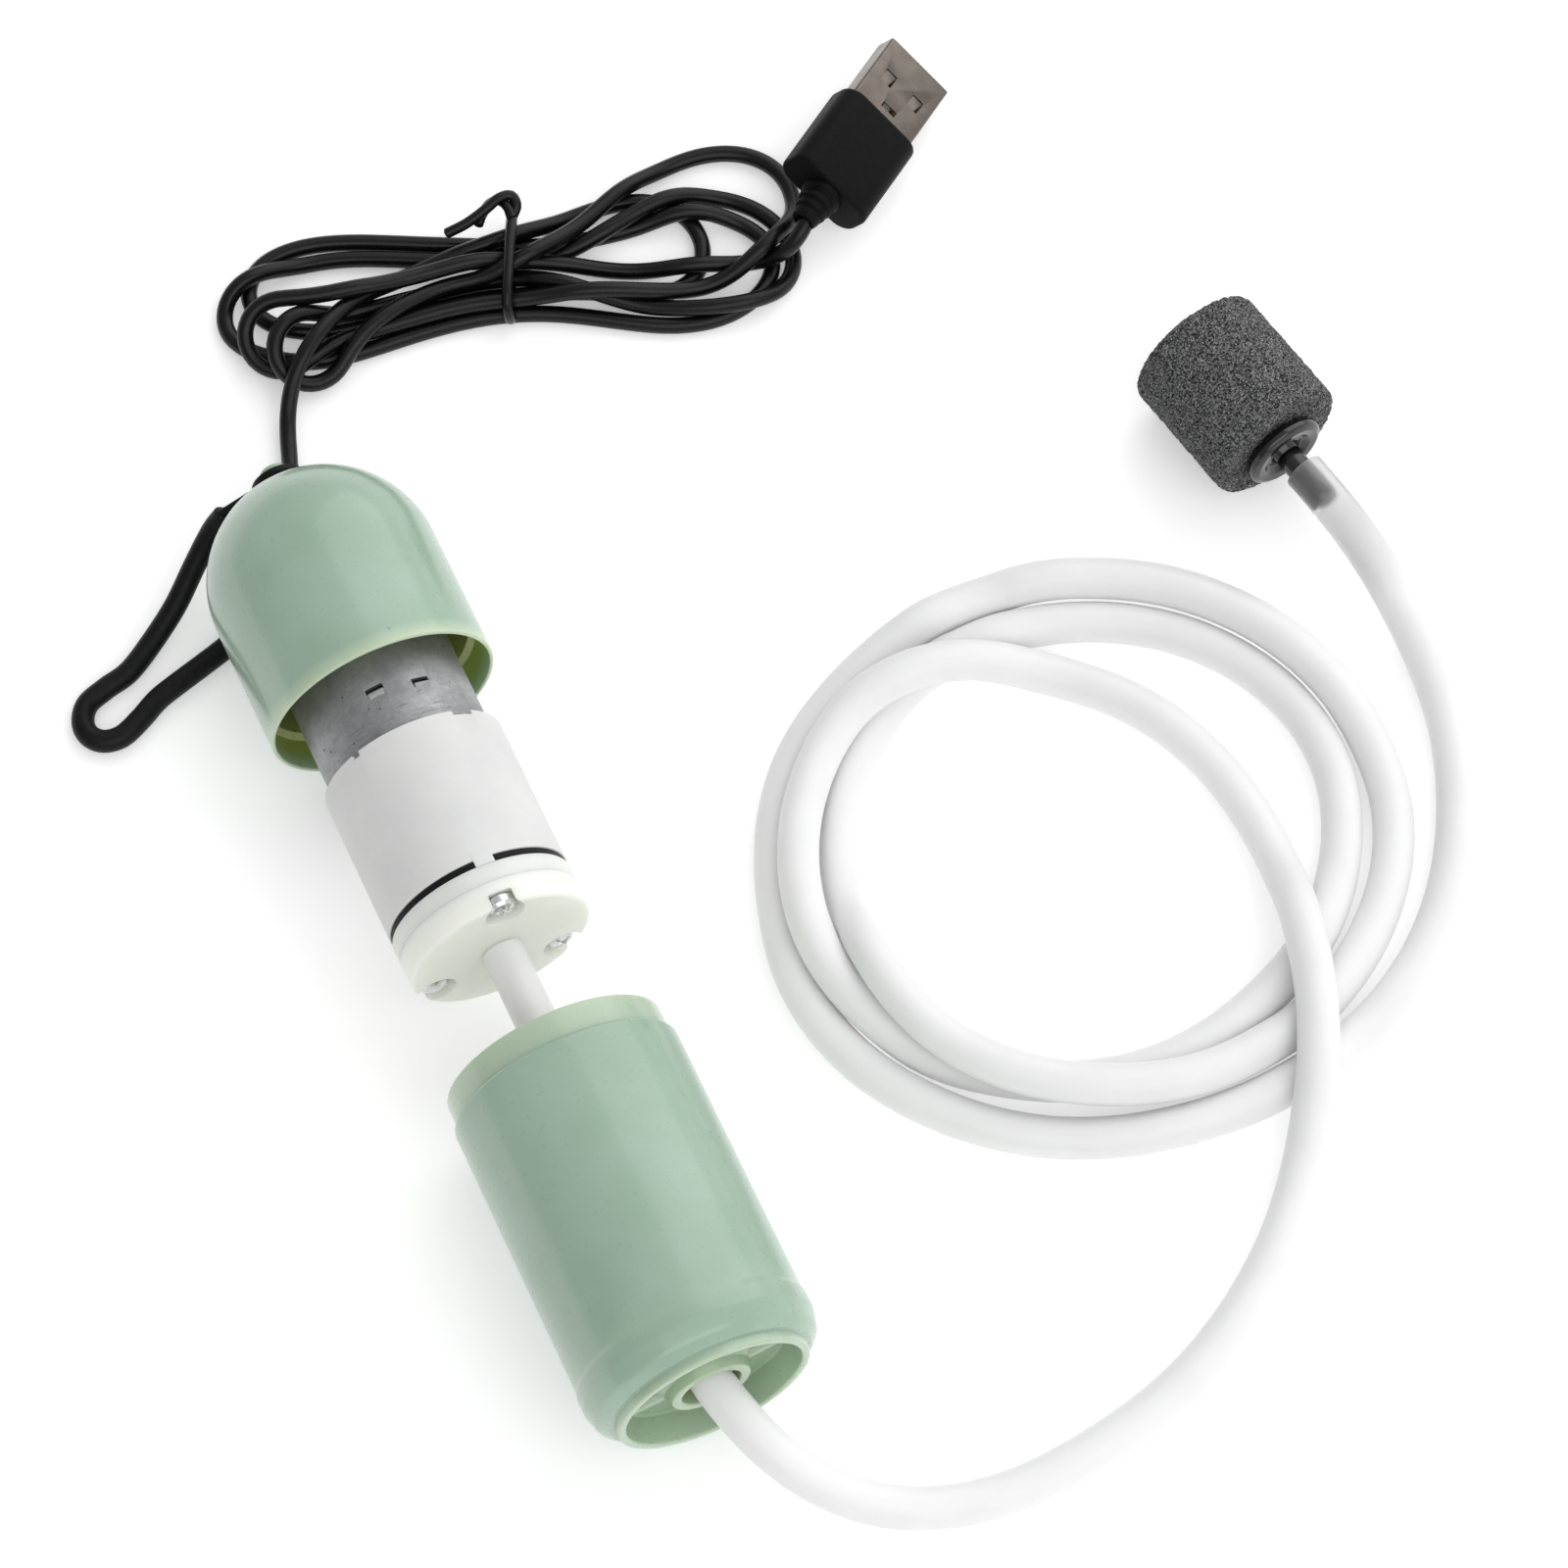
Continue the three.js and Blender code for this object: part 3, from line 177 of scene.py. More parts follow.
    [46.419, 108.488, 4.676], [48.436, 107.754, 4.194], [50.434, 106.879, 3.899], [52.412, 105.941, 3.665], [54.372, 104.995, 3.335], [56.306, 104.063, 2.852],
    [58.225, 103.14, 2.295], [60.156, 102.207, 1.8], [62.117, 101.255, 1.502], [64.096, 100.296, 1.497], [66.061, 99.353, 1.794], [67.993, 98.448, 2.331],
    [69.922, 97.583, 2.944], [71.91, 96.749, 3.375], [73.962, 95.963, 3.415], [76.017, 95.256, 3.075], [78.081, 94.592, 2.702], [80.157, 93.882, 2.715],
    [82.074, 93.075, 3.401], [83.659, 92.276, 4.688], [85.063, 91.733, 6.288], [86.592, 91.793, 7.851], [88.256, 92.625, 8.982], [89.801, 94.07, 9.523],
    [91.573, 95.35, 9.471]
])


# ---------------------------------------------------------------- geometry
def catmull(P, per):
    """points along a centripetal-like spline, per points a span"""
    P = np.asarray(P, float)
    Q = np.vstack([2 * P[0] - P[1], P, 2 * P[-1] - P[-2]])
    out = []
    t = np.linspace(0, 1, per, endpoint=False)[:, None]
    for i in range(len(P) - 1):
        a, b, c, d = Q[i], Q[i + 1], Q[i + 2], Q[i + 3]
        out.append(0.5 * ((2 * b) + (-a + c) * t + (2 * a - 5 * b + 4 * c - d) * t ** 2 + (-a + 3 * b - 3 * c + d) * t ** 3))
    out.append(P[-1:])
    return np.vstack(out)


def resample(P, step):
    s = np.r_[0, np.cumsum(np.linalg.norm(np.diff(P, axis=0), axis=1))]
    n = max(2, int(round(s[-1] / step)) + 1)
    t = np.linspace(0, s[-1], n)
    return np.column_stack([np.interp(t, s, P[:, k]) for k in range(3)])


def frames(P):
    """tangent and a twist-free normal pair along a path"""
    T = np.gradient(P, axis=0)
    T /= np.linalg.norm(T, axis=1)[:, None]
    n = np.cross(T[0], [0, 0, 1.0])
    if np.linalg.norm(n) < 1e-3:
        n = np.cross(T[0], [1.0, 0, 0])
    n /= np.linalg.norm(n)
    N = [n]
    for i in range(1, len(P)):
        n = N[-1] - T[i] * np.dot(N[-1], T[i])
        N.append(n / np.linalg.norm(n))
    N = np.array(N)
    return T, N, np.cross(T, N)


def finish_mesh(name, verts, faces, sharp=35.0, mats=(), face_mat=None):
    me = bpy.data.meshes.new(name)
    me.from_pydata([tuple(v) for v in verts], [], [tuple(f) for f in faces])
    bm = bmesh.new()
    bm.from_mesh(me)
    bmesh.ops.recalc_face_normals(bm, faces=bm.faces)
    bm.to_mesh(me)
    bm.free()
    me.update()
    for p in me.polygons:
        p.use_smooth = True
    me.set_sharp_from_angle(angle=math.radians(sharp))
    ob = bpy.data.objects.new(name, me)
    bpy.context.collection.objects.link(ob)
    for m in mats:
        me.materials.append(m)
    if face_mat is not None:
        me.polygons.foreach_set("material_index", np.asarray(face_mat, np.int32))
    return ob


def pipe(name, P, r, sides=16, inner=None, mats=(), sharp=50.0, close=False, r_fn=None):
    """tube along P (metres); with inner it is open at both ends"""
    P = np.asarray(P, float)
    T, N, B = frames(P)
    n = len(P)
    a = np.linspace(0, 2 * math.pi, sides, endpoint=False)
    ca, sa = np.cos(a), np.sin(a)
    rad = np.full(n, r) if r_fn is None else r_fn
    ring = P[:, None, :] + rad[:, None, None] * (ca[None, :, None] * N[:, None, :] + sa[None, :, None] * B[:, None, :])
    verts = ring.reshape(-1, 3)
    faces = []
    for i in range(n - 1):
        for j in range(sides):
            k = (j + 1) % sides
            faces.append((i * sides + j, i * sides + k, (i + 1) * sides + k, (i + 1) * sides + j))
    if inner is None:
        if close:
            for end, c in ((0, P[0]), (n - 1, P[-1])):
                sgn = -1 if end == 0 else 1
                idx = [end * sides + j for j in range(sides)]
                for f, push in ((0.82, 0.45), (0.45, 0.8)):
                    base = len(verts)
                    rr = rad[end] * f
                    new = c + T[end] * sgn * rad[end] * push * 0.45 + rr * (ca[:, None] * N[end] + sa[:, None] * B[end])
                    verts = np.vstack([verts, new])
                    for j in range(sides):
                        k = (j + 1) % sides
                        faces.append((idx[j], idx[k], base + k, base + j))
                    idx = [base + j for j in range(sides)]
                faces.append(tuple(idx))
        else:
            faces.append(tuple(range(sides)))
            faces.append(tuple((n - 1) * sides + j for j in range(sides)))
    else:
        ri = P[:, None, :] + inner * (ca[None, :, None] * N[:, None, :] + sa[None, :, None] * B[:, None, :])
        off = len(verts)
        verts = np.vstack([verts, ri.reshape(-1, 3)])
        for i in range(n - 1):
            for j in range(sides):
                k = (j + 1) % sides
                faces.append((off + i * sides + k, off + i * sides + j, off + (i + 1) * sides + j, off + (i + 1) * sides + k))
        for e in (0, n - 1):
            for j in range(sides):
                k = (j + 1) % sides
                faces.append((e * sides + j, e * sides + k, off + e * sides + k, off + e * sides + j))
    return finish_mesh(name, verts, faces, sharp, mats)


def round_profile(pts, n=4, closed=True):
    """pts are (r, y) or (r, y, fillet); gives the profile with its corners rounded"""
    m = len(pts)
    out = []
    for i, p in enumerate(pts):
        f = p[2] if len(p) > 2 else 0.0
        here = np.array(p[:2], float)
        if f <= 0 or (not closed and i in (0, m - 1)):
            out.append(here)
            continue
        a = np.array(pts[i - 1][:2], float)
        b = np.array(pts[(i + 1) % m][:2], float)
        u, v = a - here, b - here
        lu, lv = np.linalg.norm(u), np.linalg.norm(v)
        u, v = u / lu, v / lv
        ang = math.acos(max(-1, min(1, float(np.dot(u, v)))))
        if ang > math.radians(176):
            out.append(here)
            continue
        d = min(f / math.tan(ang / 2), 0.49 * lu, 0.49 * lv)
        rr = d * math.tan(ang / 2)
        c = here + (u + v) / np.linalg.norm(u + v) * (rr / math.sin(ang / 2))
        s, e = here + u * d - c, here + v * d - c
        a0 = math.atan2(s[1], s[0])
        a1 = math.atan2(e[1], e[0])
        da = (a1 - a0 + math.pi) % (2 * math.pi) - math.pi
        for k in range(n + 1):
            t = a0 + da * k / n
            out.append(c + rr * np.array([math.cos(t), math.sin(t)]))
    return np.array(out)


PUMP = Matrix(((1, 0, 0, OX), (0, 1, 0, OY), (0, 0, 1, AZ), (0, 0, 0, 1)))


def revolve(name, pts, seg=96, mat4=PUMP, n=4, mats=(), sharp=30.0, at=(0, 0)):
    """closed (r, y) profile turned about y, in mm, then placed by mat4"""
    prof = round_profile(pts, n)
    keep = [0]
    for i in range(1, len(prof)):
        if np.linalg.norm(prof[i] - prof[keep[-1]]) > 1e-4:
            keep.append(i)
    prof = prof[keep]
    verts, rows = [], []
    for r, y in prof:
        if r < 1e-6:
            rows.append([len(verts)] * seg)
            verts.append((at[0], y, at[1]))
        else:
            rows.append(list(range(len(verts), len(verts) + seg)))
            for j in range(seg):
                t = 2 * math.pi * j / seg
                verts.append((at[0] + r * math.sin(t), y, at[1] + r * math.cos(t)))
    faces = []
    m = len(rows)
    for i in range(m):
        A, B = rows[i], rows[(i + 1) % m]
        if A[0] == A[1] and B[0] == B[1]:
            continue
        for j in range(seg):
            k = (j + 1) % seg
            f = [A[j], A[k], B[k], B[j]]
            f = [v for q, v in enumerate(f) if v not in f[:q]]
            if len(f) > 2:
                faces.append(tuple(f))
    V = np.array(verts)
    R = np.array(mat4)
    V = (V @ R[:3, :3].T + R[:3, 3]) * 0.001
    return finish_mesh(name, V, faces, sharp, mats)


def block(name, x0, x1, y0, y1, z0, z1, mat4=PUMP, bevel=0.0, mats=(), seg=3, turn=0.0):
    bm = bmesh.new()
    bmesh.ops.create_cube(bm, size=1.0)
    for v in bm.verts:
        v.co = Vector(((x0 + x1) / 2 + v.co.x * (x1 - x0), (y0 + y1) / 2 + v.co.y * (y1 - y0), (z0 + z1) / 2 + v.co.z * (z1 - z0)))
    if bevel:
        bmesh.ops.bevel(bm, geom=bm.edges[:], offset=bevel, segments=seg, profile=0.5, affect="EDGES", clamp_overlap=True)
    bm.transform(Matrix.Scale(0.001, 4) @ mat4 @ Matrix.Rotation(math.radians(turn), 4, "Y"))
    me = bpy.data.meshes.new(name)
    bmesh.ops.recalc_face_normals(bm, faces=bm.faces)
    bm.to_mesh(me)
    bm.free()
    for p in me.polygons:
        p.use_smooth = True
    me.set_sharp_from_angle(angle=math.radians(40))
    for m in mats:
        me.materials.append(m)
    ob = bpy.data.objects.new(name, me)
    bpy.context.collection.objects.link(ob)
    return ob


def prism(name, outline, y0, y1, mat4=PUMP, bevel=0.0, mats=(), seg=3):
    """closed (x, z) outline pushed along y"""
    n = len(outline)
    verts = [(x, y0, z) for x, z in outline] + [(x, y1, z) for x, z in outline]
    faces = [tuple(range(n)), tuple(range(2 * n - 1, n - 1, -1))]
    faces += [(j, (j + 1) % n, n + (j + 1) % n, n + j) for j in range(n)]
    bm = bmesh.new()
    vs = [bm.verts.new(v) for v in verts]
    for f in faces:
        bm.faces.new([vs[i] for i in f])
    bmesh.ops.recalc_face_normals(bm, faces=bm.faces)
    if bevel:
        ends = [e for e in bm.edges if abs(e.verts[0].co.y - e.verts[1].co.y) < 1e-6]
        bmesh.ops.bevel(bm, geom=ends, offset=bevel, segments=seg, profile=0.5, affect="EDGES", clamp_overlap=True)
    bm.transform(Matrix.Scale(0.001, 4) @ mat4)
    bmesh.ops.recalc_face_normals(bm, faces=bm.faces)
    me = bpy.data.meshes.new(name)
    bm.to_mesh(me)
    bm.free()
    for p in me.polygons:
        p.use_smooth = True
    me.set_sharp_from_angle(angle=math.radians(35))
    for m in mats:
        me.materials.append(m)
    ob = bpy.data.objects.new(name, me)
    bpy.context.collection.objects.link(ob)
    return ob


def arc_outline(ri, ro, a0, a1, n=16, end=0.0):
    """ring sector as an (x, z) outline, angles from +z toward +x; end rounds its ends"""
    out = []
    for k in range(n + 1):
        t = math.radians(a0 + (a1 - a0) * k / n)
        out.append((ro * math.sin(t), ro * math.cos(t)))
    if end:
        t = math.radians(a1)
        rm, h = (ri + ro) / 2, (ro - ri) / 2
        for k in range(1, 6):
            q = math.pi * k / 6
            rr, tt = rm + h * math.cos(q), h * math.sin(q)
            out.append((rr * math.sin(t) + tt * math.cos(t), rr * math.cos(t) - tt * math.sin(t)))
    for k in range(n + 1):
        t = math.radians(a1 + (a0 - a1) * k / n)
        out.append((ri * math.sin(t), ri * math.cos(t)))
    if end:
        t = math.radians(a0)
        rm, h = (ri + ro) / 2, (ro - ri) / 2
        for k in range(1, 6):
            q = math.pi * k / 6
            rr, tt = rm - h * math.cos(q), -h * math.sin(q)
            out.append((rr * math.sin(t) + tt * math.cos(t), rr * math.cos(t) - tt * math.sin(t)))
    return out


def circle_outline(r, n=24, x=0.0, z=0.0):
    return [(x + r * math.sin(2 * math.pi * k / n), z + r * math.cos(2 * math.pi * k / n)) for k in range(n)]


def carve(ob, cutters, op="DIFFERENCE"):
    """exact boolean with each cutter, then the cutters are deleted"""
    for c in cutters:
        md = ob.modifiers.new("cut", "BOOLEAN")
        md.operation = op
        md.solver = "EXACT"
        md.object = c
    dg = bpy.context.evaluated_depsgraph_get()
    me = bpy.data.meshes.new_from_object(ob.evaluated_get(dg))
    old = ob.data
    ob.modifiers.clear()
    ob.data = me
    bpy.data.meshes.remove(old)
    for c in cutters:
        m = c.data
        bpy.data.objects.remove(c)
        bpy.data.meshes.remove(m)
    return ob


def soften(ob, width, segments=2, angle=40.0, sharp=40.0):
    """small round on the sharp edges, as real geometry"""
    bm = bmesh.new()
    bm.from_mesh(ob.data)
    bmesh.ops.remove_doubles(bm, verts=bm.verts, dist=2e-6)
    bmesh.ops.dissolve_degenerate(bm, dist=2e-6, edges=bm.edges)
    bm.to_mesh(ob.data)
    bm.free()
    md = ob.modifiers.new("round", "BEVEL")
    md.width = width * 0.001
    md.segments = segments
    md.limit_method = "ANGLE"
    md.angle_limit = math.radians(angle)
    md.use_clamp_overlap = True
    dg = bpy.context.evaluated_depsgraph_get()
    me = bpy.data.meshes.new_from_object(ob.evaluated_get(dg))
    old = ob.data
    ob.modifiers.clear()
    ob.data = me
    bpy.data.meshes.remove(old)
    for p in ob.data.polygons:
        p.use_smooth = True
    ob.data.set_sharp_from_angle(angle=math.radians(sharp))
    return ob


def join(name, obs):
    """several meshes as one object"""
    bm = bmesh.new()
    mats, index = [], {}
    for o in obs:
        base = len(bm.faces)
        bm.from_mesh(o.data)
        bm.faces.ensure_lookup_table()
        remap = []
        for m in o.data.materials:
            if m.name not in index:
                index[m.name] = len(mats)
                mats.append(m)
            remap.append(index[m.name])
        for f in bm.faces[base:]:
            f.material_index = remap[f.material_index] if remap else 0
    me = bpy.data.meshes.new(name)
    bm.to_mesh(me)
    bm.free()
    for m in mats:
        me.materials.append(m)
    for p in me.polygons:
        p.use_smooth = True
    me.set_sharp_from_angle(angle=math.radians(40))
    for o in obs:
        m = o.data
        bpy.data.objects.remove(o)
        bpy.data.meshes.remove(m)
    ob = bpy.data.objects.new(name, me)
    bpy.context.collection.objects.link(ob)
    return ob


# --------------------------------------------------------------- materials
def lin(c):
    return tuple((v / 255 / 12.92 if v / 255 <= 0.04045 else ((v / 255 + 0.055) / 1.055) ** 2.4) for v in c) + (1.0,)


class Mat:
    """a node material with object coordinates in millimetres"""

    def __init__(self, name):
        self.m = bpy.data.materials.new(name)
        self.m.use_nodes = True
        self.nt = self.m.node_tree
        self.b = self.nt.nodes["Principled BSDF"]
        tc = self.new("ShaderNodeTexCoord")
        mp = self.new("ShaderNodeMapping")
        mp.inputs["Scale"].default_value = (1000, 1000, 1000)
        self.link(tc.outputs["Object"], mp.inputs["Vector"])
        self.co = mp.outputs["Vector"]

    def new(self, kind):
        return self.nt.nodes.new(kind)

    def link(self, a, b):
        self.nt.links.new(a, b)

    def set(self, **kw):
        for k, v in kw.items():
            self.b.inputs[k.replace("_", " ")].default_value = v
        return self

    def noise(self, scale, detail=4.0, rough=0.55, vec=None):
        n = self.new("ShaderNodeTexNoise")
        n.inputs["Scale"].default_value = scale
        n.inputs["Detail"].default_value = detail
        n.inputs["Roughness"].default_value = rough
        self.link(vec or self.co, n.inputs["Vector"])
        return n.outputs["Fac"]

    def voronoi(self, scale, out="Distance", feature="F1", vec=None):
        n = self.new("ShaderNodeTexVoronoi")
        n.feature = feature
        n.inputs["Scale"].default_value = scale
        self.link(vec or self.co, n.inputs["Vector"])
        return n.outputs[out]

    def rng(self, value, a, b, c=0.0, d=1.0, smooth=False):
        n = self.new("ShaderNodeMapRange")
        n.inputs["From Min"].default_value = a
        n.inputs["From Max"].default_value = b
        n.inputs["To Min"].default_value = c
        n.inputs["To Max"].default_value = d
        if smooth:
            n.interpolation_type = "SMOOTHSTEP"
        self.link(value, n.inputs["Value"])
        return n.outputs["Result"]

    def math(self, op, a, b=0.0):
        n = self.new("ShaderNodeMath")
        n.operation = op
        for i, v in enumerate((a, b)):
            if isinstance(v, (int, float)):
                n.inputs[i].default_value = v
            else:
                self.link(v, n.inputs[i])
        return n.outputs[0]

    def mix(self, fac, a, b, blend="MIX"):
        n = self.new("ShaderNodeMix")
        n.data_type = "RGBA"
        n.blend_type = blend
        if isinstance(fac, (int, float)):
            n.inputs["Factor"].default_value = fac
        else:
            self.link(fac, n.inputs["Factor"])
        for i, v in ((6, a), (7, b)):
            if isinstance(v, tuple):
                n.inputs[i].default_value = v
            else:
                self.link(v, n.inputs[i])
        return n.outputs[2]

    def xyz(self):
        n = self.new("ShaderNodeSeparateXYZ")
        self.link(self.co, n.inputs[0])
        return n.outputs

    def color(self, c):
        self.link(c, self.b.inputs["Base Color"])
        return self

    def rough(self, r):
        self.link(r, self.b.inputs["Roughness"])
        return self

    def bump(self, h, strength=0.2, dist=0.05):
        n = self.new("ShaderNodeBump")
        n.inputs["Strength"].default_value = strength
        n.inputs["Distance"].default_value = dist * 0.001
        self.link(h, n.inputs["Height"])
        self.link(n.outputs["Normal"], self.b.inputs["Normal"])
        return self

    def attr(self, name):
        n = self.new("ShaderNodeAttribute")
        n.attribute_name = name
        return n.outputs["Fac"]


def plastic_green():
    m = Mat("green_shell_plastic")
    m.set(IOR=1.5, Coat_Weight=0.45, Coat_Roughness=0.11, Subsurface_Weight=0.12, Subsurface_Scale=0.003)
    m.b.inputs["Subsurface Radius"].default_value = (0.6, 1.0, 0.55)
    big = m.noise(0.05, 3.0)
    fine = m.noise(0.9, 5.0)
    c = m.mix(m.rng(big, 0.35, 0.68), lin((142, 168, 148)), lin((154, 178, 161)))
    # painted highlight: a lighter green on the shells' rims, the lower bead, the boss face and the post's top
    painted_highlight = m.attr("painted_highlight")
    c = m.mix(painted_highlight, c, lin((184, 200, 172)))
    # painted light through the plastic: a yellower, brighter green on the inner walls and the recess floor
    painted_through_light = m.attr("painted_through_light")
    c = m.mix(painted_through_light, c, lin((168, 180, 100)))
    speck = m.rng(m.voronoi(0.16), 0.030, 0.052, 1.0, 0.0)
    gate = m.rng(m.noise(0.07, 2.0), 0.5, 0.56)
    c = m.mix(m.math("MULTIPLY", m.math("MULTIPLY", speck, gate), 0.45), c, lin((70, 88, 76)))
    m.color(c)
    m.rough(m.rng(fine, 0.3, 0.75, 0.26, 0.36))
    m.bump(m.noise(0.55, 2.0, 0.4), 0.06, 0.06)
    return m.m


def plastic_white():
    m = Mat("white_body_plastic")
    m.set(IOR=1.46, Subsurface_Weight=0.1, Subsurface_Scale=0.002)
    c = m.mix(m.rng(m.noise(0.08, 4.0), 0.3, 0.7), lin((211, 211, 211)), lin((220, 220, 219)))
    speck = m.rng(m.voronoi(0.22), 0.018, 0.034, 1.0, 0.0)
    c = m.mix(m.math("MULTIPLY", speck, 0.5), c, lin((120, 118, 116)))
    m.color(c)
    m.rough(m.rng(m.noise(2.2, 4.0), 0.3, 0.7, 0.42, 0.56))
    m.bump(m.noise(3.5, 3.0), 0.12, 0.03)
    return m.m


def plastic_milky(name, a, b, rough=(0.3, 0.42), sss=0.35):
    m = Mat(name)
    m.set(IOR=1.49, Subsurface_Weight=sss, Subsurface_Scale=0.004)
    m.b.inputs["Subsurface Radius"].default_value = (1.0, 1.0, 0.8)
    c = m.mix(m.rng(m.noise(0.12, 4.0), 0.3, 0.7), lin(a), lin(b))
    m.color(c)
    m.rough(m.rng(m.noise(1.4, 3.0), 0.3, 0.7, *rough))
    m.bump(m.noise(0.8, 2.0), 0.06, 0.05)
    return m.m


def rubber(name="black_rubber_look", c0=(12, 12, 13), c1=(22, 22, 22), r=(0.42, 0.58), spec=0.16):
    m = Mat(name)
    m.set(IOR=1.5, Specular_IOR_Level=spec)
    m.color(m.mix(m.rng(m.noise(1.2, 4.0), 0.3, 0.7), lin(c0), lin(c1)))
    m.rough(m.rng(m.noise(2.6, 4.0), 0.3, 0.7, *r))
    m.bump(m.noise(5.0, 3.0), 0.15, 0.03)
    return m.m


def metal(name, c0, c1, r=(0.25, 0.4), scale=1.6, metallic=1.0, bump=0.08):
    m = Mat(name)
    m.set(Metallic=metallic)
    m.color(m.mix(m.rng(m.noise(scale, 5.0), 0.3, 0.7), lin(c0), lin(c1)))
    m.rough(m.rng(m.noise(scale * 2, 4.0), 0.3, 0.7, *r))
    m.bump(m.noise(scale * 3, 3.0), bump, 0.02)
    return m.m


def galvanised():
    m = Mat("galvanised_can")
    m.set(Metallic=0.72)
    cloud = m.noise(0.22, 5.0, 0.6)
    c = m.mix(m.rng(cloud, 0.3, 0.7), lin((140, 141, 143)), lin((172, 173, 174)))
    mottle = m.noise(1.4, 6.0, 0.68)
    c = m.mix(m.rng(mottle, 0.35, 0.75, 0.0, 0.5), c, lin((120, 120, 122)))
    mp = m.new("ShaderNodeMapping")
    mp.inputs["Scale"].default_value = (0.35, 3.2, 0.35)
    m.link(m.co, mp.inputs["Vector"])
    # darker streaks towards the can's lower end, next to the housing
    low_streaks = m.rng(m.noise(0.9, 4.0, 0.6, mp.outputs["Vector"]), 0.56, 0.68)
    low = m.rng(m.xyz()[1], 26.0, 33.5, 1.0, 0.0)
    c = m.mix(m.math("MULTIPLY", m.math("MULTIPLY", low_streaks, low), 0.55), c, lin((74, 74, 75)))
    pits = m.rng(m.voronoi(0.62), 0.07, 0.13, 1.0, 0.0)
    gate = m.rng(m.noise(0.3, 2.0), 0.47, 0.53)
    c = m.mix(m.math("MULTIPLY", m.math("MULTIPLY", pits, gate), 0.9), c, lin((34, 33, 33)))
    m.color(c)
    m.rough(m.rng(m.noise(1.8, 5.0), 0.3, 0.7, 0.42, 0.58))
    m.bump(m.noise(1.6, 5.0, 0.6), 0.12, 0.03)
    return m.m


def silicone():
    m = Mat("silicone_hose_look")
    m.set(IOR=1.4, Subsurface_Scale=0.0012, Specular_IOR_Level=0.3)
    m.b.inputs["Subsurface Radius"].default_value = (1.0, 1.0, 1.0)
    c = m.mix(m.rng(m.noise(0.06, 3.0), 0.35, 0.65), lin((240, 240, 240)), lin((246, 246, 246)))
    m.color(c)
    clear = m.attr("clear")
    m.link(m.rng(clear, 0, 1, 0.10, 0.9), m.b.inputs["Transmission Weight"])
    m.link(m.rng(clear, 0, 1, 0.3, 0.1), m.b.inputs["Subsurface Weight"])
    m.rough(m.rng(m.noise(0.25, 2.0), 0.3, 0.7, 0.30, 0.36))
    m.bump(m.noise(0.12, 2.0), 0.02, 0.05)
    return m.m


def grit():
    m = Mat("air_stone_grit")
    m.set(IOR=1.5, Specular_IOR_Level=0.3)
    a = m.voronoi(5.2, "Color")
    sep = m.new("ShaderNodeSeparateColor")
    m.link(a, sep.inputs[0])
    c = m.mix(m.rng(sep.outputs[0], 0.25, 1.0), lin((20, 20, 21)), lin((138, 138, 139)))
    c = m.mix(m.rng(m.noise(0.6, 5.0), 0.35, 0.7, 0.0, 0.25), c, lin((58, 58, 59)))
    spark = m.rng(sep.outputs[1], 0.955, 0.97)
    c = m.mix(spark, c, lin((158, 158, 160)))
    m.color(c)
    m.rough(m.rng(sep.outputs[1], 0.90, 0.96, 0.92, 0.5))
    h = m.math("ADD", m.voronoi(5.2), m.math("MULTIPLY", m.noise(3.2, 4.0), 0.7))
    m.bump(h, 0.85, 0.16)
    return m.m


def cable_pvc():
    m = Mat("cable_sheath")
    m.set(IOR=1.5, Specular_IOR_Level=0.26)
    m.color(m.mix(m.rng(m.noise(0.5, 4.0), 0.3, 0.7), lin((8, 8, 9)), lin((15, 15, 15))))
    m.rough(m.rng(m.noise(1.6, 4.0), 0.3, 0.7, 0.22, 0.36))
    m.bump(m.noise(2.4, 4.0), 0.12, 0.03)
    return m.m


GREEN = plastic_green()
WHITE = plastic_white()
CREAM = plastic_milky("valve_head_plastic", (236, 239, 228), (243, 245, 238))
CLEARISH = plastic_milky("valve_plate_plastic", (222, 225, 217), (231, 234, 226), (0.3, 0.4), 0.4)
RUBBER = rubber()
ROD = rubber("coated_rod_look", (11, 11, 12), (22, 22, 22), (0.34, 0.5))
PLUG = rubber("plug_overmold_look", (9, 9, 10), (16, 16, 16), (0.44, 0.56), 0.09)
CABLE_M = cable_pvc()
BLACK_GLOSS = rubber("stone_flange_plastic", (9, 9, 10), (17, 17, 18), (0.08, 0.15), 0.70)
BLACK_MATT = rubber("end_cap_plastic", (30, 30, 31), (44, 44, 45), (0.5, 0.65))
CAN = galvanised()
ZINC = metal("screw_zinc", (200, 200, 202), (232, 232, 232), (0.2, 0.34), 1.6, 0.85)
SHAFT = metal("shaft_ground", (182, 182, 186), (206, 206, 208), (0.14, 0.24))
TIN = metal("plug_tin", (100, 93, 88), (113, 106, 100), (0.24, 0.30), 0.5, 1.0, 0.015)
GOLD = metal("contact_gold_look", (206, 172, 92), (226, 196, 122), (0.2, 0.32))
COPPER = metal("winding_copper", (150, 84, 44), (196, 116, 66), (0.24, 0.4), 2.4, 1.0, 0.3)
BRONZE = metal("bush_bronze", (150, 116, 66), (178, 142, 88), (0.35, 0.5))
IRON = metal("lamination_steel", (92, 92, 96), (128, 128, 132), (0.35, 0.5), 2.0)
MAGNET = metal("ferrite", (52, 52, 55), (74, 74, 77), (0.5, 0.66), 1.2, 0.35, 0.2)
CARBON = metal("carbon", (40, 40, 41), (62, 62, 63), (0.5, 0.62), 1.6, 0.2, 0.2)
HOSE_M = silicone()
STONE = grit()
USB_WHITE = plastic_milky("usb_insulator", (232, 232, 230), (242, 242, 240), (0.4, 0.5), 0.1)


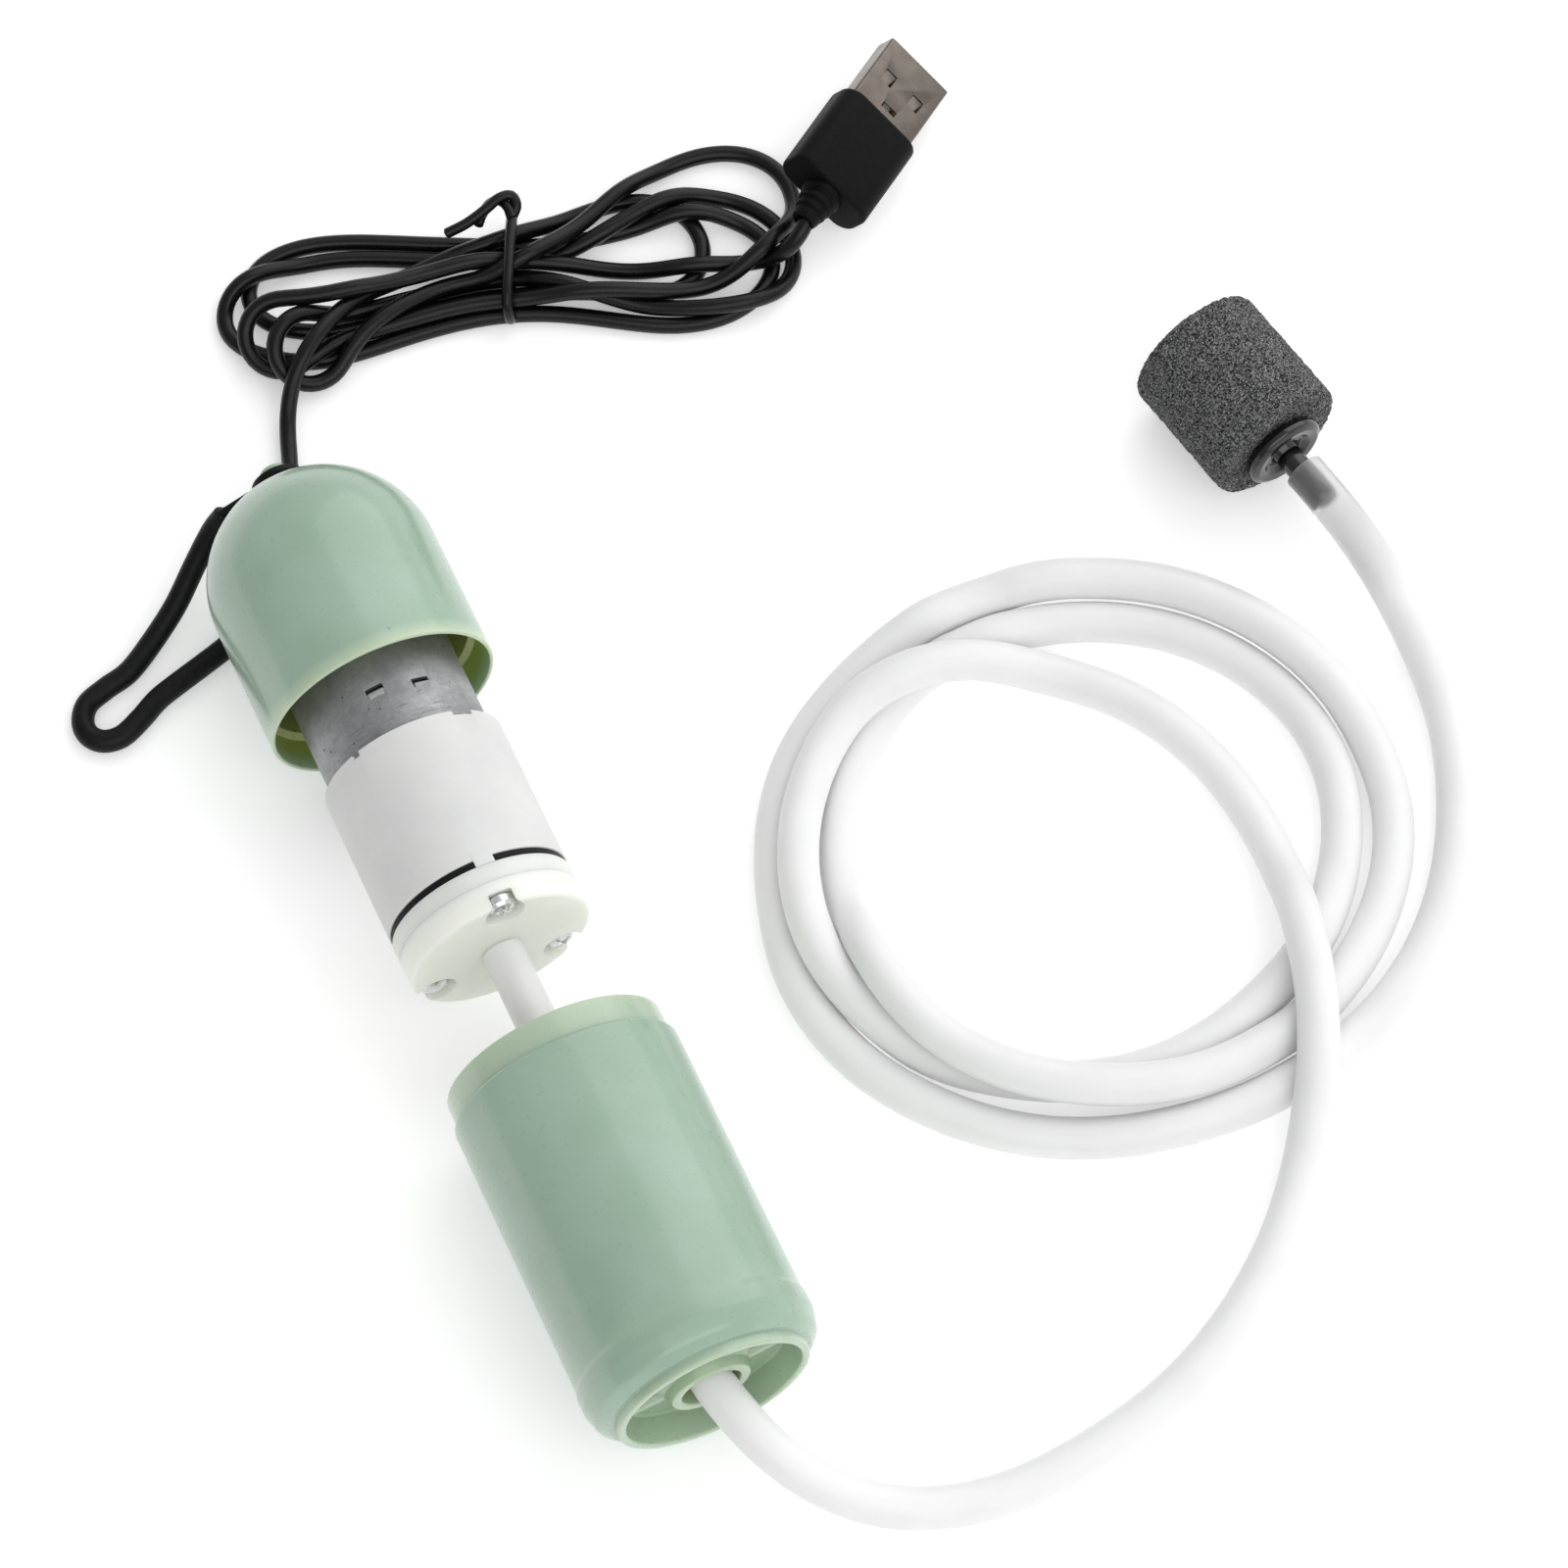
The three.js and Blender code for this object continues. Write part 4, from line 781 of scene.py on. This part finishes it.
def own(name, mats):
    """give a kept CAD node its material"""
    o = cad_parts[name]
    o.data.materials.clear()
    o.data.materials.append(mats)
    return o


def put(ob, body, slot, *nodes):
    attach(ob, body)
    if nodes:
        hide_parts(*nodes)
    return ob


def tag(ob, fn_painted_highlight, fn_painted_through_light):
    """per-point shares of painted light: a painted highlight for the lighter edges, and painted light through the
    plastic for the yellower inside of the shells
    """
    me = ob.data
    co = np.zeros(len(me.vertices) * 3)
    me.vertices.foreach_get("co", co)
    co = co.reshape(-1, 3) * 1000 - np.array([OX, OY, AZ])
    r = np.hypot(co[:, 0], co[:, 2])
    for nm, fn in (("painted_highlight", fn_painted_highlight), ("painted_through_light", fn_painted_through_light)):
        a = me.attributes.new(nm, "FLOAT", "POINT")
        a.data.foreach_set("value", np.clip(fn(r, co[:, 1], co), 0, 1).astype(np.float32))


def sstep(x, a, b):
    t = np.clip((x - a) / (b - a), 0, 1)
    return t * t * (3 - 2 * t)


# ------------------------------------------------------------- upper cover
dome_out = [(17 * math.cos(t), 63 + 17 * math.sin(t)) for t in np.linspace(0.03, math.pi / 2, 26)[:-1]]
dome_in = [(15.3 * math.cos(t), 63 + 15.3 * math.sin(t)) for t in np.linspace(math.pi / 2, 0.03, 26)[1:]]
upper = revolve("upper_shell", [
    (16.35, 42.0, 0.3), (17.0, 42.0, 0.42), (17.0, 44.5), (17.0, 53), *dome_out, (0, 80), (0, 78.3), *dome_in,
    (15.3, 55), (15.3, 47.6, 0.25), (16.3, 47.0, 0.25), (16.3, 45)], 128, mats=[GREEN], sharp=50, n=5)
q = Vector((0, 1, 0)).rotation_difference(Vector((0.0999875, 0.8848894, -0.4549431))).to_matrix().to_4x4()
EXIT = Matrix.Translation((OX, OY + 63, AZ)) @ q
carve(upper, [revolve("cut", [(0, 12), (2.9, 12), (2.9, 20), (0, 20)], 40, EXIT)])
post = revolve("post", [(0, 79.2), (1.9, 79.7), (1.45, 80.2, 0.2), (1.3, 81.8, 0.1), (2.1, 82.0, 0.2), (2.0, 83.1, 0.5), (0, 83.4)], 40, mats=[GREEN])
for o in (upper, post):
    # painted highlight on the upper rim and the post's top
    tag(o, lambda r, y, c: (1 - sstep(y, 42.3, 44.2)) * 0.9 * (r > 16.2) + 0.25 * (y > 80.2),
        # painted light through the plastic on the inner wall
        lambda r, y, c: ((r < 16.34) & (np.hypot(r, np.maximum(y - 63, 0)) < 16.4) & (y < 79.0)) * 1.0)
upper = join("upper_shell", [upper, post])
put(upper, "upper_cover", "green_shell", "upper_cover")

grommet = revolve("cable_strain_relief", [
    (1.3, 13.7, 0.2), (3.2, 13.7, 0.2), (3.2, 14.6), (2.55, 14.6), (2.55, 17.2), (3.7, 17.2, 0.15), (3.6, 18.0, 0.5), (2.7, 18.4, 0.3), (2.35, 19.0, 0.2),
    (2.45, 19.3, 0.1), (2.3, 19.7, 0.1), (2.15, 19.7, 0.1), (2.2, 20.3, 0.1), (1.9, 21.0, 0.3), (1.3, 21.0, 0.2)], 48, EXIT, mats=[RUBBER])
put(grommet, "upper_cover", "black_rubber", "cable_grommet")

# ------------------------------------------------------------ hanging hook
HOOK = np.array([[-8.6, 81.0, 13.4], [-10.2, 80.85, 11.6], [-11.83, 80.2, 9.9], [-14.89, 78.4, 7.2], [-19.37, 75.2, 4.2], [-24.41, 72.1, 2.3], [-29.2, 69.3, 1.7], [-33.2, 68.2, 1.65],
    [-36.6, 66.9, 1.65], [-38.25, 64.5, 1.65], [-38.2, 62.1, 1.65], [-36.6, 60.4, 1.65], [-33.9, 60.1, 1.65], [-30.6, 61.5, 1.65], [-27.15, 63.4, 1.65],
    [-23.6, 64.6, 1.65], [-19.2, 65.9, 1.65], [-15.2, 67.1, 1.75], [-12.2, 68.1, 2.3]])
hp = resample(catmull(HOOK, 12), 0.5)
rod = pipe("rod", M(hp), 0.00168, 28, mats=[ROD], close=True)
eye = revolve("eye", [(1.75, 80.4, 0.35), (3.9, 80.4, 0.4), (3.9, 81.6, 0.4), (1.75, 81.6, 0.35)], 56, mats=[ROD])
sdir = math.degrees(math.atan2(-9.2, 13.1 - 17))
strap = block("strap", -1.5, 1.5, 80.42, 81.58, 3.2, 10.2, bevel=0.4, mats=[ROD], turn=sdir)
hook = join("hook_loop", [rod, eye, strap])
put(hook, "hook", "coated_wire", "hanging_hook")

# ------------------------------------------------------------- lower cover
y0 = -72.0
lower = revolve("lower_shell", [
    (14.5, -18.0, 0.25), (16.0, -18.0, 0.35), (16.0, -22.1, 0.15), (16.25, -22.5, 0.1), (16.75, -22.5, 0.45), *[(16.75, y) for y in np.arange(-25.0, y0 + 9.9, -2.6)], (16.75, y0 + 8.3, 0.9), (17.0, y0 + 7.4, 1.0),
    (17.0, y0 + 5.2, 2.0), (16.3, y0 + 2.7, 1.6), (14.9, y0 + 1.45, 0.35), (14.1, y0 + 1.35, 0.12), (14.1, y0, 0.35), (12.9, y0, 0.4), (12.7, y0 + 4.6, 0.5),
    (8.6, y0 + 4.6, 2.6), (6.2, y0 + 2.6, 0.6), (5.75, y0 + 1.1, 0.3), (4.3, y0 + 1.1, 0.3), (4.3, y0 + 6.3, 0.2), (13.0, y0 + 6.3, 1.0), (15.05, y0 + 8.6, 0.8), *[(15.05, y) for y in np.arange(y0 + 11.0, -25.5, 2.6)], (15.05, -24, 0.2), (14.5, -23.0, 0.2)],
    128, mats=[GREEN], sharp=40, n=5)
cuts = [prism("cut", arc_outline(10.9, 12.35, a, a + 23, 12, 1), y0 + 2, y0 + 8) for a in (52, 232)]
carve(lower, cuts)
ribs = []
for a in (80, 260):
    ribs.append(block("rib", -1.15, 1.15, y0 + 2.7, y0 + 4.75, 4.9, 12.95, bevel=0.8, mats=[GREEN], turn=a, seg=5))
for o in [lower] + ribs:
    # painted highlight on the top rim, the bottom rim, the bead and the boss face
    tag(o, lambda r, y, c: np.where(y > -22.4, 0.38 + 0.4 * sstep(y, -19.0, -18.0), 0) * (r > 15.4) + (1 - sstep(y, y0 + 0.3, y0 + 1.6)) * 0.55 * (r > 12.6)
        + np.exp(-((y - (y0 + 7.9)) / 0.6) ** 2) * 0.22 * (r > 16) + 0.3 * ((y < y0 + 1.9) & (r < 6)),
        # painted light through the plastic on the inner wall and the recess floor
        lambda r, y, c: ((r < 15.2) & (y > y0 + 6.0)) * 1.0 + 0.18 * ((r < 12.85) & (y < y0 + 6.0)))
lower = join("lower_shell", [lower] + ribs)
put(lower, "lower_cover", "green_shell", "lower_cover")

# --------------------------------------------------------------- pump unit
SA = (5, 125, 245)


def at_angle(a, r):
    t = math.radians(a)
    return r * math.sin(t), r * math.cos(t)


body = revolve("pump_housing", [
    (11.4, 8.05, 0.05), (13.5, 8.05, 0.12), (13.5, 9.35), (13.5, 11), (13.5, 14), (13.5, 20), (13.5, 31.3, 0.3), (12.55, 31.3, 0.2), (12.55, 30.0), (3.4, 30.0), (3.4, 27.6), (11.4, 27.6)], 128, mats=[WHITE], sharp=35)
tabs = [prism("tab", arc_outline(12.4, 13.5, a - 6, a + 6, 12), 6.95, 9.2, mats=[WHITE]) for a in SA]
bosses = []
for a in SA:
    x, z = at_angle(a, 10.85)
    bosses.append(revolve("boss", [(1.3, 8.45), (2.3, 8.45, 0.1), (2.3, 18.0, 0.2), (1.3, 18.0)], 28, mats=[WHITE], at=(x, z)))
carve(body, tabs, "UNION")
carve(body, [block("cut", x0_, x1_, 30.45, 33, 12.0, 15.0, turn=a) for x0_, x1_, a in ((-0.9, 2.5, 32), (-0.7, 0.7, -38))] + [revolve("cut", [(0, 26), (1.45, 26), (1.45, 32), (0, 32)], 24, at=(x, 0)) for x in (-8, 8)])
soften(body, 0.12, 2, 50)
body = join("pump_housing", [body] + bosses)
put(body, "pump_unit", "white_plastic", "pump_body")

dia = revolve("rubber_diaphragm", [(0, 7.0), (13.3, 7.0, 0.1), (13.3, 8.0, 0.1), (0, 8.0)], 128, mats=[RUBBER])
carve(dia, [prism("cut", arc_outline(12.1, 15, a - 6.4, a + 6.4, 8), 5, 10) for a in SA] + [revolve("cut", [(0, 5), (1.25, 5), (1.25, 10), (0, 10)], 20, at=at_angle(a, 11.0)) for a in SA])
soften(dia, 0.1, 2, 50)
cups = [revolve("cup", [(0, 8.0), (2.9, 8.0, 0.3), (2.3, 11.4, 0.5), (0, 11.4)], 32, mats=[RUBBER], at=at_angle(a, 6.3)) for a in (65, 185, 305)]
dia = join("rubber_diaphragm", [dia] + cups)
put(dia, "pump_unit", "black_rubber", "diaphragm")

vplate = revolve("clear_valve_plate", [(1.0, 4.25), (13.5, 4.22, 0.05), (13.5, 6.93, 0.1), (1.0, 6.93)], 128, mats=[CLEARISH])
carve(vplate, [revolve("cut", [(0, 3), (1.25, 3), (1.25, 9), (0, 9)], 20, at=at_angle(a, 11.0)) for a in SA])
put(vplate, "pump_unit", "white_plastic", "valve_plate")

head = revolve("valve_head_cap", [
    (1.05, 2.3), (8.2, 2.3, 0.2), (8.2, 4.2), (13.5, 4.2, 0.05), (13.5, 0.0, 0.7), (2.9, 0.0, 0.6), (2.1, -0.7, 0.1), (2.1, -6.4, 0.1), (1.6, -8.0, 0.1), (1.05, -8.0)],
    128, mats=[CREAM], sharp=35)
carve(head, [revolve("cut", [(0, -2), (2.95, -2), (2.95, 2.4, 0.25), (0, 2.4)], 40, at=at_angle(a, 11.0)) for a in SA]
      + [revolve("cut", [(0, -1), (1.25, -1), (1.25, 6), (0, 6)], 24, at=at_angle(a, 11.0)) for a in SA])
soften(head, 0.16, 3, 40)
put(head, "pump_unit", "cream_plastic", "valve_head")

for i, a in enumerate(SA):
    x, z = at_angle(a, 11.0)
    s = revolve("screw", [(0, 0.22), (0.9, 0.26), (1.7, 0.55), (2.12, 1.05, 0.2), (2.15, 2.08, 0.1), (0.95, 2.1), (0.95, 15.6), (0.4, 16.4), (0, 16.4)], 40, mats=[ZINC], at=(x, z))
    A = PUMP @ Matrix.Translation((x, 0, z)) @ Matrix.Rotation(math.radians(20 + 37 * i), 4, "Y")
    carve(s, [block("cut", -1.15, 1.15, 0.0, 1.25, -0.2, 0.2, A), block("cut", -0.2, 0.2, 0.0, 1.25, -1.15, 1.15, A)])
    s.name = "head_screw_fine_%d" % (i + 1)
    put(s, "pump_unit", "screw_steel", "head_screw_%d" % (i + 1))

can = revolve("motor_can_fine", [
    (11.4, 60.8, 0.15), (11.4, 31.1), (3.3, 31.1), (3.3, 30.3), (12.2, 30.3, 0.7), (12.2, 40), (12.2, 50), (12.2, 60.8, 0.15)], 128, mats=[CAN])
cut = [revolve("cut", [(0, 29), (1.45, 29), (1.45, 33), (0, 33)], 24, at=(x, 0)) for x in (-8, 8)]
for a, y in ((-10, 38.8), (21, 37.8)):
    cut.append(block("cut", -1.3, 1.3, y - 0.55, y + 0.3, 11.0, 13.4, bevel=0.0, turn=a))
carve(can, cut)
soften(can, 0.08, 2, 50)
lances = []
for a, y in ((-10, 38.3), (21, 37.3)):
    L = PUMP @ Matrix.Rotation(math.radians(a), 4, "Y") @ Matrix.Translation((0, y - 0.05, 12.3)) @ Matrix.Rotation(math.radians(24), 4, "X")
    lip = block("lance", -1.2, 1.2, -1.3, 0.1, -0.32, 0.22, L, mats=[CAN])
    soften(lip, 0.2, 4, 40)
    lances.append(lip)
can = join("motor_can_fine", [can] + lances)
put(can, "pump_unit", "galvanised", "motor_can")

for n_, m_ in (("motor_end_cap", BLACK_MATT), ("motor_terminal_neg", GOLD), ("motor_terminal_pos", GOLD), ("motor_brush_neg", CARBON), ("motor_brush_pos", CARBON),
               ("motor_magnet_a", MAGNET), ("motor_magnet_b", MAGNET), ("motor_bush_front", BRONZE), ("motor_bush_rear", BRONZE), ("motor_screw_a", ZINC), ("motor_screw_b", ZINC),
               ("motor_shaft", SHAFT), ("armature_core", IRON), ("armature_winding_a", COPPER), ("armature_winding_b", COPPER), ("armature_winding_c", COPPER),
               ("commutator", COPPER), ("crank_hub", WHITE), ("crank_pin", SHAFT), ("wobble_plate", WHITE), ("outlet_valve", RUBBER)):
    own(n_, m_)

# ---------------------------------------------------------------- air line
hpath = resample(catmull(HOSE, 6), 1.6)
hpath = hpath[:-1]
hose = pipe("air_hose_fine", M(hpath), 0.0030, 28, inner=0.00202, mats=[HOSE_M])
hc = np.zeros(len(hose.data.vertices) * 3)
hose.data.vertices.foreach_get("co", hc)
hc = hc.reshape(-1, 3) * 1000 - np.array([OX, OY, 0.0])
near = np.linalg.norm(hc - np.array([136.6, 25.0, 10.9]), axis=1)
ca_ = hose.data.attributes.new("clear", "FLOAT", "POINT")
ca_.data.foreach_set("value", (1 - np.clip((near - 7) / 16, 0, 1)).astype(np.float32))
put(hose, "pump_unit", "silicone_hose", "air_hose")

SC = Vector((133.25 + OX, 39.98 + OY, 10.9))
SD = Vector((0.2, -0.98, 0)).normalized()
SX = SD.cross(Vector((0, 0, 1))).normalized()
SM = Matrix.Translation(SC) @ Matrix((SX, SD, SX.cross(SD))).transposed().to_4x4()
rows = [(0, -10.2)]
rows += [(r, -10.2) for r in np.arange(0.5, 9.8, 0.42)] + [(9.9, -10.15), (10.2, -10.0), (10.42, -9.72), (10.55, -9.35)]
rows += [(10.6, y) for y in np.arange(-9.0, 9.01, 0.42)] + [(10.55, 9.35), (10.42, 9.72), (10.2, 10.0), (9.9, 10.15)]
rows += [(r, 10.2) for r in np.arange(9.6, 2.3, -0.42)] + [(2.2, 9.9), (2.2, 4), (2.2, -2), (0, -2)]
stone = revolve("air_stone_fine", rows, 156, SM, mats=[STONE], sharp=70)
co = np.zeros(len(stone.data.vertices) * 3)
stone.data.vertices.foreach_get("co", co)
co = co.reshape(-1, 3)
rs = np.random.RandomState(7)
no = np.zeros(len(co) * 3)
stone.data.vertices.foreach_get("normal", no)
no = no.reshape(-1, 3)
g = rs.normal(0, 1, len(co))
rel = (np.array(SM.inverted()) @ np.c_[co * 1000, np.ones(len(co))].T).T
free = (np.hypot(rel[:, 0], rel[:, 2]) > 2.6)
co += no * (np.clip(g, -1.6, 1.2) * 0.10e-3 - 0.08e-3)[:, None] * free[:, None]
stone.data.vertices.foreach_set("co", co.ravel())
stone.data.update()
put(stone, "pump_unit", "stone", "air_stone")
fitting = revolve("stone_fitting_fine", [
    (0.8, -1.6), (1.9, -1.6, 0.2), (1.9, 10.4), (4.6, 10.35), (5.7, 10.45, 0.5), (6.3, 11.3, 0.6), (6.15, 12.2, 0.6), (5.3, 12.7, 0.6), (4.1, 12.5, 0.5), (3.3, 11.6, 0.5),
    (2.35, 11.7, 0.3), (1.95, 12.6, 0.2), (1.95, 14.5), (1.95, 21.2, 0.2), (1.7, 22.0, 0.1), (0.8, 22.0)], 72, SM, mats=[BLACK_GLOSS], n=6)
put(fitting, "pump_unit", "black_plastic", "air_stone_fitting")

# --------------------------------------------------------------- USB cable
cpath = resample(catmull(CABLE, 4), 0.9)
cable = pipe("usb_cable_fine", M(cpath), 0.00125, 14, mats=[CABLE_M])
put(cable, "upper_cover", "black_pvc", "usb_cable_lead", "usb_cable_hank", "usb_cable_tail")

W = np.array([47.8, 108.6])
E1, E2 = np.array([0.91, -0.415]), np.array([0.415, 0.91])


def waist(u, v, z):
    return [W[0] + E1[0] * u + E2[0] * v, W[1] + E1[1] * u + E2[1] * v, z]


ring_pts = []
for k in range(40):
    t = 2 * math.pi * k / 40
    c_, s_ = math.cos(t), math.sin(t)
    v_ = -1.93 + 8.2 * (abs(c_) ** 0.62) * (1 if c_ >= 0 else -1)
    z_ = 4.45 + 3.55 * (abs(s_) ** 0.8) * (1 if s_ >= 0 else -1)
    ring_pts.append(waist(0.25 * math.sin(2 * t), v_, max(0.95, z_)))
ring_pts.append(ring_pts[0])
ring_pts.append(ring_pts[1])
tie_ring = pipe("tie_ring", M(resample(catmull(np.array(ring_pts), 4), 0.5)), 0.0008, 14, mats=[CABLE_M])
TAILS = [
    [waist(0.2, 5.0, 7.4), waist(-0.4, 6.6, 7.7), waist(-1.6, 7.9, 7.4), waist(-3.0, 7.7, 7.0), waist(-4.2, 6.1, 6.6), waist(-4.8, 4.4, 6.3)],
    [waist(0.3, 5.4, 7.0), waist(0.9, 6.9, 7.8), waist(0.1, 8.2, 8.4), waist(-1.7, 7.6, 8.6), waist(-3.6, 5.9, 8.3), waist(-6.4, 3.9, 7.6), waist(-9.4, 2.6, 6.8)],
]
tails = [pipe("tie_tail", M(resample(catmull(np.array(t_), 10), 0.5)), 0.0008, 14, mats=[CABLE_M], close=True) for t_ in TAILS]
tie = join("wire_tie", [tie_ring] + tails)
put(tie, "upper_cover", "black_pvc", "cable_tie")

# plug frame: x across, y toward the nose, z up through it
PA = Vector((0.8101, 0.5769, -0.105)).normalized()
PW = Vector((0.4399, -0.7163, -0.5416)).normalized()
PN = PW.cross(PA).normalized()
if PN.z < 0:
    PN = -PN
PX = PA.cross(PN)
PM = Matrix.Translation((105.669 + OX, 105.387 + OY, 7.80)) @ Matrix((PX, PA, PN)).transposed().to_4x4()


def rr_outline(w, t, r, n=6):
    out = []
    for cx, cz, a0 in ((w - r, t - r, 0), (w - r, -t + r, 90), (-w + r, -t + r, 180), (-w + r, t - r, 270)):
        for k in range(n + 1):
            a = math.radians(a0 + 90 * k / n)
            out.append((cx + r * math.sin(a), cz + r * math.cos(a)))
    return out


over = prism("plug_grip", rr_outline(7.35, 3.95, 2.9, 12), -15.4, 0.0, PM, bevel=0.65, mats=[PLUG], seg=4)
carve(over, [prism("cut", rr_outline(6.35, 2.6, 0.3), -6.0, 2.0, PM)])
neck = revolve("plug_neck", [(1.3, -14.9), (3.3, -14.9), (3.2, -16.2, 0.4), (2.45, -16.8, 0.2), (2.9, -17.2, 0.3), (2.75, -18.0, 0.3), (2.2, -18.3, 0.15), (2.55, -18.7, 0.3), (2.4, -19.4, 0.3), (1.95, -19.7, 0.15),
    (2.2, -20.1, 0.25), (2.0, -20.8, 0.3), (1.8, -21.3, 0.3), (1.3, -21.3)], 40, PM, mats=[PLUG])
plug = join("plug_grip", [over, neck])
put(plug, "upper_cover", "black_plastic", "usb_plug_overmold")
shell = prism("plug_shell", rr_outline(6.0, 2.25, 0.5), -5.7, 12.0, PM, mats=[TIN])
carve(shell, [prism("cut", rr_outline(5.7, 1.95, 0.3), -4.5, 13.0, PM)] + [block("cut", x - 1.05, x + 1.05, 5.1, 7.3, -3, 3, PM) for x in (-2.8, 2.8)]
      + [block("cut", -1.35, 1.35, 1.8, 2.7, 1.5, 3, PM)])
soften(shell, 0.06, 2, 50)
springs = []
for x in (-2.8, 2.8):
    SP = PM @ Matrix.Translation((x, 7.2, 2.0)) @ Matrix.Rotation(math.radians(26), 4, "X")
    springs.append(block("spring", -0.98, 0.98, -2.15, 0.0, -0.1, 0.1, SP, bevel=0.05, mats=[TIN]))
shell = join("plug_shell", [shell] + springs)
put(shell, "upper_cover", "usb_metal", "usb_plug_shell")
own("usb_plug_tongue", USB_WHITE)
for i in range(4):
    own("usb_contact_%d" % (i + 1), GOLD)

tuple(M(hpath[0]))
[tuple(p) for p in M(hpath)]
tuple(M([2.14, 81.9, 7.3]))
[tuple(p) for p in M(cpath)]

# -------------------------------------------------------- floor and light
fm = bpy.data.materials.new("floor_white")
fm.use_nodes = True
nt = fm.node_tree
fb = nt.nodes["Principled BSDF"]
fb.inputs["Base Color"].default_value = (0.86, 0.86, 0.86, 1)
fb.inputs["Roughness"].default_value = 0.9
fb.inputs["Specular IOR Level"].default_value = 0.1
fb.inputs["Emission Color"].default_value = (1, 1, 1, 1)
fb.inputs["Emission Strength"].default_value = 0.32
bpy.ops.mesh.primitive_plane_add(size=6, location=(0.05, 0, -0.00005))
floor = bpy.context.object
floor.name = "floor"
floor.data.materials.append(fm)

world = bpy.data.worlds.new("studio")
bpy.context.scene.world = world
world.use_nodes = True
wn = world.node_tree
bg = wn.nodes["Background"]
tcw = wn.nodes.new("ShaderNodeTexCoord")
sep = wn.nodes.new("ShaderNodeSeparateXYZ")
wn.links.new(tcw.outputs["Generated"], sep.inputs[0])
ramp = wn.nodes.new("ShaderNodeMapRange")
ramp.inputs["From Min"].default_value = -0.1
ramp.inputs["From Max"].default_value = 0.9
ramp.inputs["To Min"].default_value = 0.70
ramp.inputs["To Max"].default_value = 0.62
wn.links.new(sep.outputs[2], ramp.inputs["Value"])
side = wn.nodes.new("ShaderNodeMath")
side.operation = "MULTIPLY_ADD"
side.inputs[1].default_value = 0.34
wn.links.new(sep.outputs[0], side.inputs[0])
wn.links.new(ramp.outputs[0], side.inputs[2])
wn.links.new(side.outputs[0], bg.inputs["Strength"])
bg.inputs["Color"].default_value = (1, 1, 1, 1)


def area(name, loc, aim, size, size_y, power, col=(1, 1, 1)):
    ld = bpy.data.lights.new(name, "AREA")
    ld.shape = "RECTANGLE"
    ld.size, ld.size_y = size, size_y
    ld.energy = power
    ld.color = col
    o = bpy.data.objects.new(name, ld)
    bpy.context.collection.objects.link(o)
    o.location = loc
    o.rotation_euler = (Vector(aim) - Vector(loc)).to_track_quat("-Z", "Y").to_euler()
    return o


area("key", (0.95, 0.55, 0.95), (0.03, 0, 0), 1.5, 1.5, 7.5)
area("front", (-0.05, -0.95, 1.15), (0.03, 0, 0), 1.7, 1.2, 9.0)

sc = bpy.context.scene
sc.view_settings.view_transform = "Standard"
sc.view_settings.look = "None"
sc.view_settings.exposure = 0.0
